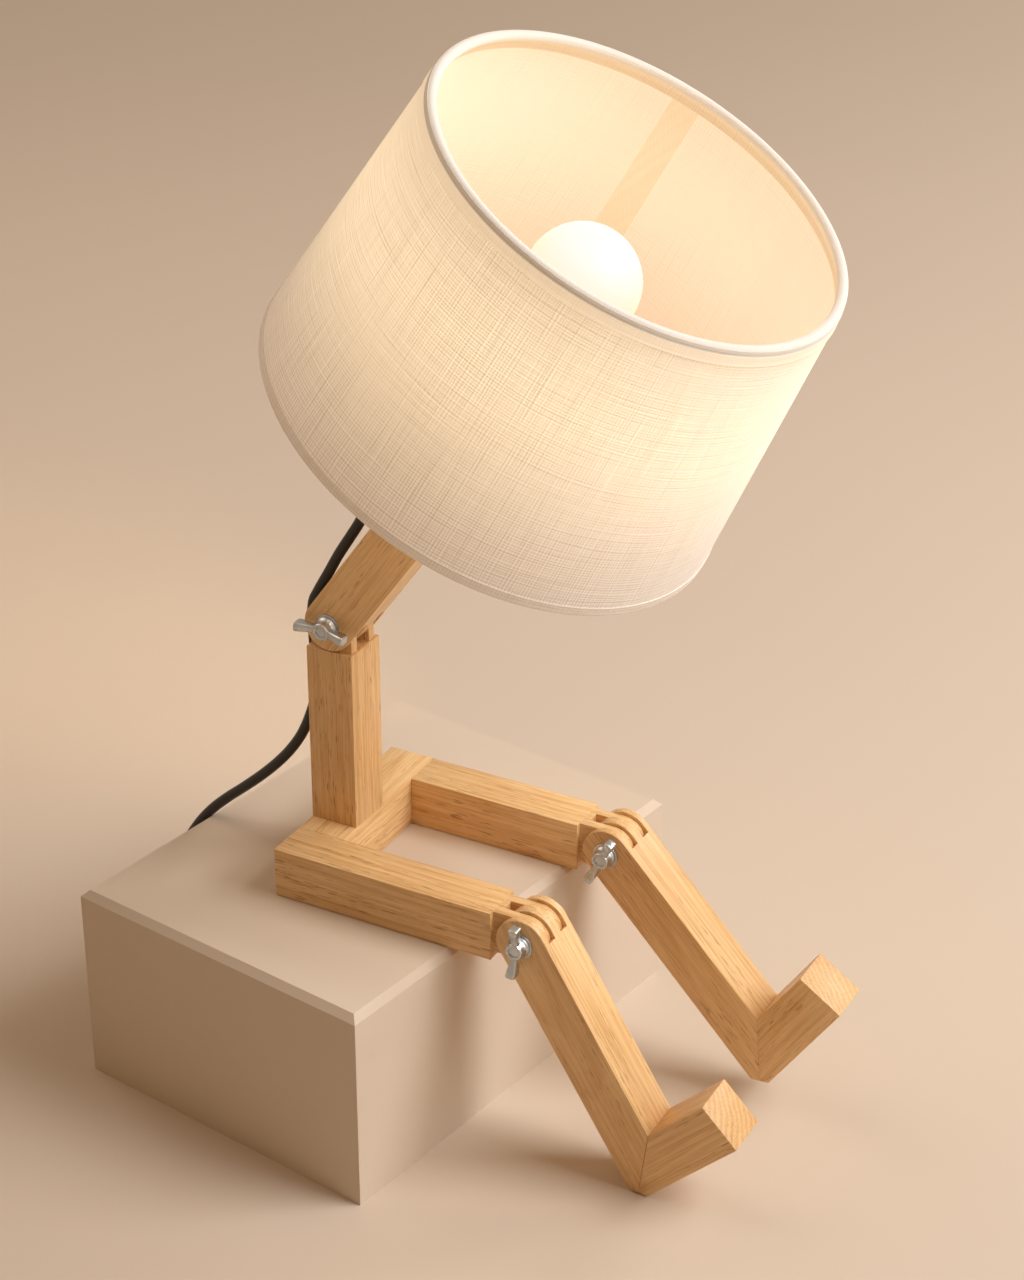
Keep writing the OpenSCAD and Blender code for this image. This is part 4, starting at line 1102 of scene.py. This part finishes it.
    def build(self) -> None:
        path = self.route()
        flex = self.tube(path)
        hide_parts("cord_drop", "cord_coil")
        self.finishes.dress(flex, "cord_drop")
        switch = self.on_lane(self.switch_y, self.switch_z())
        plug = self.on_lane(self.coil_y + self.tail_l + self.sleeve_l, self.plug_z())
        half = np.array([0, self.switch_l / 2, 0])
        carried = []
        for name, node, base, way, plain in (
                ("switch_sleeve_near", "switch_sleeves", switch - half, -1, 0.2),
                ("switch_sleeve_far", "switch_sleeves", switch + half, 1, 0.2),
                ("plug_strain", "plug_sleeve", plug, -1, 0.15)):
            piece = self.sleeve(name, base, (0, way, 0), self.sleeve_l, self.sleeve_d, plain)
            carried.append(self.finishes.stand(piece, node))
        carried += [self.finishes.stand(softened(node, radius), node) for node, radius in self.eased.items()]
        carried += [frame["nodes"][node] for node in ("plug_pins", "switch_screws", "switch_contacts")]
        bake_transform(flex)
        way = self.channel_point(self.channel_l + self.bushing_out) - self.channel_point(self.channel_l)
        bush = self.sleeve("arm_bushing", self.channel_point(self.channel_l - self.bushing_in),
                           tuple(way / np.linalg.norm(way)), self.bushing_in + self.bushing_out,
                           self.channel_d - 0.1, 0.38)
        self.finishes.stand(bush, "cord_bushing")


@dataclass
class Limbs:
    """The wooden beams of the seat, post, arm, shins and feet, with eased edges and their own grain."""

    finishes: Finishes
    ease_r: float = 0.7
    hole: float = 4.2

    def frames(self) -> dict[str, tuple[Array, Triple]]:
        """Grain frame of each beam.

        Returns:
            By node, a 3 by 3 matrix whose columns are the grain's own axes, the first along the beam, and
            the origin in millimetres.
        """
        along_x = np.eye(3)
        along_y = np.array([[0, 0, 1.0], [1, 0, 0], [0, 1, 0]])
        along_z = np.array([[0, 0, 1.0], [0, 1, 0], [1, 0, 0]])
        made = {
            "hip_crossbar": (along_y, (0, 0, 0)),
            "right_thigh": (along_x, (0, -POSE.knee[1], 10.0)),
            "left_thigh": (along_x, (0, POSE.knee[1], 20.0)),
            "torso_post": (along_z, (4.0, POSE.pivot[1], 0)),
            "neck_arm": (POSE.turn(POSE.arm_tilt) @ along_z, POSE.pivot),
        }
        for side in (Side.RIGHT, Side.LEFT):
            word = side.name.lower()
            made[word + "_shin"] = (POSE.turn(POSE.bend(side)), POSE.knee_at(side))
            made[word + "_foot"] = (POSE.turn(POSE.bend(side) - POSE.foot_bend), POSE.knee_at(side))
        return made

    def shift(self, number: int) -> Array:
        """Shift of one beam's grain in metres, by which no two beams match."""
        return np.array([0.37 * number, 0.0047 * ((number * 5) % 7) - 0.012, 0.0061 * ((number * 3) % 5) - 0.011])

    def build(self) -> None:
        """Eases each beam and stores its grain coordinates and the share of end grain on its faces."""
        knees = {side.name.lower(): POSE.knee_at(side) for side in Side}
        for number, (node, (axes, origin)) in enumerate(self.frames().items()):
            piece = softened(node, self.ease_r, self.hole, knees.get(node.split("_")[0], POSE.pivot))
            mesh = piece.data
            local = (vectors(mesh.vertices, "co") - np.array(origin) * MM) @ axes + self.shift(number)
            grain = mesh.attributes.new(GRAIN, "FLOAT_VECTOR", "POINT")
            grain.data.foreach_set("vector", local.astype(np.float32).ravel())
            facing = np.abs(vectors(mesh.polygons, "normal") @ axes[:, 0])
            end = np.clip((facing - 0.6) / 0.35, 0, 1).astype(np.float32)
            mesh.attributes.new(END, "FLOAT", "FACE").data.foreach_set("value", end)
            self.finishes.stand(piece, node)


@dataclass
class WingNut:
    """A zinc wing nut: a flanged boss with two rounded wings."""

    finishes: Finishes
    node: str
    centre: Triple
    width: float
    turn: float
    washer_t: float = 1.2
    gap: float = 0.05
    boss_h: float = 7.5
    bore_r: float = 3.05
    base_r: float = 6.5
    top_r: float = 5.0
    span: float = 32.0
    tip_r: float = 3.6
    tip_z: float = 7.0
    root_x: float = 2.6
    root_z: float = 4.0
    wing_t: float = 5.6
    corner: float = 0.42
    sides: int = 20
    steps: int = 48

    def boss(self) -> Array:
        """Outline of the boss: a flange at its foot, a waist and an eased top."""
        bore, base, top, high = self.bore_r, self.base_r, self.top_r, self.boss_h
        return np.array([
            [bore, 0], [base - 0.4, 0], [base, 0.35], [base, 1.1], [base - 0.35, 1.6], [top + 0.75, 2.1],
            [top + 0.35, 3.2], [top + 0.1, 5.4], [top, 6.9], [top - 0.25, 7.35], [top - 0.7, high],
            [bore + 0.3, high], [bore, 7.2]])

    def wing(self, sign: int) -> tuple[Array, list]:
        """One wing, as round-cornered sections carried outwards.

        The half height swells from a waist to the tip and closes there as a half circle, the section is a
        superellipse, and its middle climbs along the nut's axis.

        Args:
            sign: which of the two wings.

        Returns:
            The points in the nut's own frame, and the faces.
        """
        tip = 0.9 + 0.1 * np.sin(np.radians(np.linspace(8, 90, 10)))
        u = np.concatenate([np.linspace(0, 0.9, 14), tip])[:, None]
        v = np.linspace(0, 2 * np.pi, self.sides, endpoint=False)[None, :]
        close = np.clip(1 - (np.clip(u - 0.9, 0, 1) / 0.1) ** 2.6, 0.0004, 1) ** 0.4
        swell = smooth_step((u - 0.3) / 0.5)
        tall = self.tip_r * (0.72 + 0.28 * swell) * close
        thick = self.wing_t / 2 * (0.76 + 0.24 * swell) * close
        rise = self.root_z + (self.tip_z - self.root_z) * u**0.9
        c, s = np.cos(v), np.sin(v)
        x = np.broadcast_to(sign * (self.root_x + u * (self.span / 2 - self.root_x)), (len(u), self.sides))
        y = sign * thick * np.sign(c) * np.abs(c) ** self.corner
        z = rise + tall * np.sign(s) * np.abs(s) ** self.corner
        first = list(range(self.sides))
        caps = [first[::-1], [n + (len(u) - 1) * self.sides for n in first]]
        return np.stack([x, y, z], -1).reshape(-1, 3), grid_faces(len(u), self.sides, False).tolist() + caps

    def build(self) -> None:
        """Joins the boss and the wings into one piece and puts it on its bolt."""
        points = revolved(self.boss(), self.steps)
        faces = grid_faces(len(self.boss()), self.steps, True)[:, ::-1].tolist()
        for sign in (1, -1):
            wing, quads = self.wing(sign)
            faces += [[n + len(points) for n in f] for f in quads]
            points = np.concatenate([points, wing])
        a = math.radians(self.turn)
        axes = np.array([[math.cos(a), -math.sin(a), 0], [0, 0, -1.0], [math.sin(a), math.cos(a), 0]])
        base = np.array(self.centre) - [0, self.width / 2 + self.washer_t + self.gap, 0]
        piece = new_piece("nut_" + self.node, (points @ axes.T + base) * MM, faces)
        work = bmesh.new()
        work.from_mesh(piece.data)
        bmesh.ops.recalc_face_normals(work, faces=work.faces[:])
        work.to_mesh(piece.data)
        work.free()
        piece.data.set_sharp_from_angle(angle=SHARP_TURNED)
        self.finishes.stand(piece, self.node)


@dataclass
class Shade:
    """The linen shade with its liner, bindings and wire rings."""

    finishes: Finishes
    low_r: float = 130.0
    top_r: float = 114.0
    low_z: float = 2.0
    top_z: float = 167.0
    linen_t: float = 0.7
    liner_t: float = 0.8
    glue: float = 0.05
    wire_d: float = 3.0
    wire_gap: float = 0.1
    top_bead: float = 3.2
    top_bead_in: float = 2.35
    low_bead: float = 3.1
    low_bead_in: float = 2.47
    bead_slim: float = 0.5
    bead_rows: int = 34
    hem_h: float = 8.0
    hem_rows: int = 8
    fold_rows: int = 4
    low_band_h: float = 5.0
    proud: float = 0.06
    rows: int = 40

    def wall(self, z: Array | float) -> Array | float:
        """Outer radius of the shade at a height."""
        return self.low_r + (self.top_r - self.low_r) * (z - self.low_z) / (self.top_z - self.low_z)

    def band(self, out: float, thick: float) -> Array:
        """Closed outline of a band of the wall's full height.

        Args:
            out: depth of its outer face below the shade's face.
            thick: its thickness.

        Returns:
            Anticlockwise outline of radius and height.
        """
        z = np.linspace(self.low_z, self.top_z, self.rows)
        outer = np.stack([self.wall(z) - out, z], -1)
        return np.concatenate([outer, (outer - [thick, 0])[::-1]])

    def top_outline(self) -> Array:
        """Rolled bead over the upper edge, with the hem below it outside and a narrow fold inside.

        Returns:
            Anticlockwise outline of radius and height.
        """
        top = self.top_z
        mid = np.array([self.wall(top) - self.top_bead_in, top - self.wire_d / 2])
        z = np.linspace(top - self.hem_h, top - 2.6, self.hem_rows)
        crease = 0.22 * np.exp(-((z - top + self.hem_h) / 0.7) ** 2)
        hem = np.stack([self.wall(z) + 0.5 + crease, z], -1)
        bead = arc(mid, self.top_bead - self.bead_slim, -12, 222, self.bead_rows)
        fold = np.array([[-0.95, -4.4], [0.1, -5.8], [0.5, -7.4], [0.52, -9.8], [0.75, -9.8], [0.75, -7.3],
                         [0.4, -5.5], [-0.55, -4.0], [-1.45, -3.15], [-2.15, -2.7], [-2.36, -2.0],
                         [-2.36, 0.05], [2.4, 0.05]]) + [mid[0], top]
        back = np.array([[self.wall(top - 3.0) + self.proud, top - 3.0], hem[0] + [-0.55, 0.05]])
        return np.concatenate([hem, bead, fold, back])

    def low_outline(self) -> Array:
        """Folded band on the lower edge, with a thin raised fold at its top.

        Returns:
            Anticlockwise outline of radius and height.
        """
        low, high = self.low_z, self.low_z + self.low_band_h
        mid = np.array([self.wall(low) - self.low_bead_in, low + self.wire_d / 2])
        bead = arc(mid, self.low_bead, 222, 328, 18)
        z = np.linspace(low + 0.2, high, 12)
        fold = 0.2 * np.exp(-((z - low - 4.6) / 0.35) ** 2)
        face = np.stack([self.wall(z) + 0.36 + fold, z], -1)
        under = low - self.proud
        back = np.array([[self.wall(high) + self.proud, high + 0.05], [self.wall(low) + self.proud, under],
                         [mid[0] - 2.5, under], [mid[0] - 2.5, low + 3.3]])
        return np.concatenate([bead, face, back])

    def wire(self, wall: float, z: float) -> Array:
        """Round outline of a wire ring that lies inside a wall of the given outer radius."""
        inset = self.linen_t + self.liner_t + self.glue + self.wire_gap + self.wire_d / 2
        return arc(np.array([wall - inset, z]), self.wire_d / 2, 0, 345, 24)

    def line_binding(self, piece: Piece) -> None:
        """Gives the upper binding's hem and inner fold their own materials, by rings of faces: shaded copies of
        the bead's cloth, with painted shade and a stronger painted glow.

        Args:
            piece: the upper binding.
        """
        for part in ("hem", "fold"):
            piece.data.materials.append(self.finishes.made[part])
        ring = np.arange(len(piece.data.polygons)) // SHADE_STEPS
        last = self.hem_rows + self.bead_rows
        inside = (ring >= last - 1) & (ring < last + self.fold_rows)
        index = (ring < self.hem_rows - 1) + 2 * inside
        piece.data.polygons.foreach_set("material_index", index.astype(np.int32))

    def build(self) -> None:
        """Turns the shade's rings and dresses them."""
        outlines = {
            "shade_linen": self.band(0, self.linen_t),
            "shade_liner": self.band(self.linen_t + self.glue, self.liner_t),
            "top_binding": self.top_outline(),
            "low_binding": self.low_outline(),
            "top_wire_ring": self.wire(self.top_r, self.top_z - self.wire_d / 2),
            "low_wire_ring": self.wire(self.wall(self.low_z + self.wire_d), self.low_z + self.wire_d / 2),
        }
        for node, outline in outlines.items():
            piece = self.finishes.stand(lathe_piece("cloth_" + node, outline, SHADE_STEPS), node)
            piece.data.set_sharp_from_angle(angle=SHARP_TURNED)
            if node == "top_binding":
                self.line_binding(piece)


@dataclass
class Hardware:
    """The CAD pieces that keep their shape: eased where they show, and dressed."""

    finishes: Finishes
    eased: dict[str, float] = field(default_factory=lambda: {
        "holder_cup": 0.6, "holder_sleeve": 0.4, "shade_clamp_ring": 0.4, "neck_washer": 0.25,
        "right_knee_washer": 0.25, "left_knee_washer": 0.25, "neck_bolt": 0.3, "right_knee_bolt": 0.3,
        "left_knee_bolt": 0.3, "holder_nut": 0.3})

    def build(self) -> None:
        """Eases the named nodes, then dresses every node that still shows. The lit globe casts no shadow."""
        for node, radius in self.eased.items():
            self.finishes.stand(softened(node, radius), node)
        for node, piece in frame["nodes"].items():
            if not piece.hide_render:
                self.finishes.dress(piece, node)
        frame["nodes"]["bulb_globe"].visible_shadow = False


def main() -> None:
    """Builds the view, the cord and the lamp's sub-assemblies in order."""
    bpy.context.scene.view_settings.view_transform = "Standard"
    view = View()
    view.camera()
    view.stage()
    view.lights()
    view.surroundings()
    finishes = Finishes()
    Flex(finishes).build()
    Limbs(finishes).build()
    for node, centre, width, turn in (
            ("neck_wing_nut", POSE.pivot, 30.0, -5.0),
            ("right_knee_wing_nut", POSE.knee_at(Side.RIGHT), 29.0, 87.0),
            ("left_knee_wing_nut", POSE.knee_at(Side.LEFT), 29.0, 64.0)):
        WingNut(finishes, node, centre, width, turn).build()
    Shade(finishes).build()
    Hardware(finishes).build()


if __name__ == "__main__":
    main()
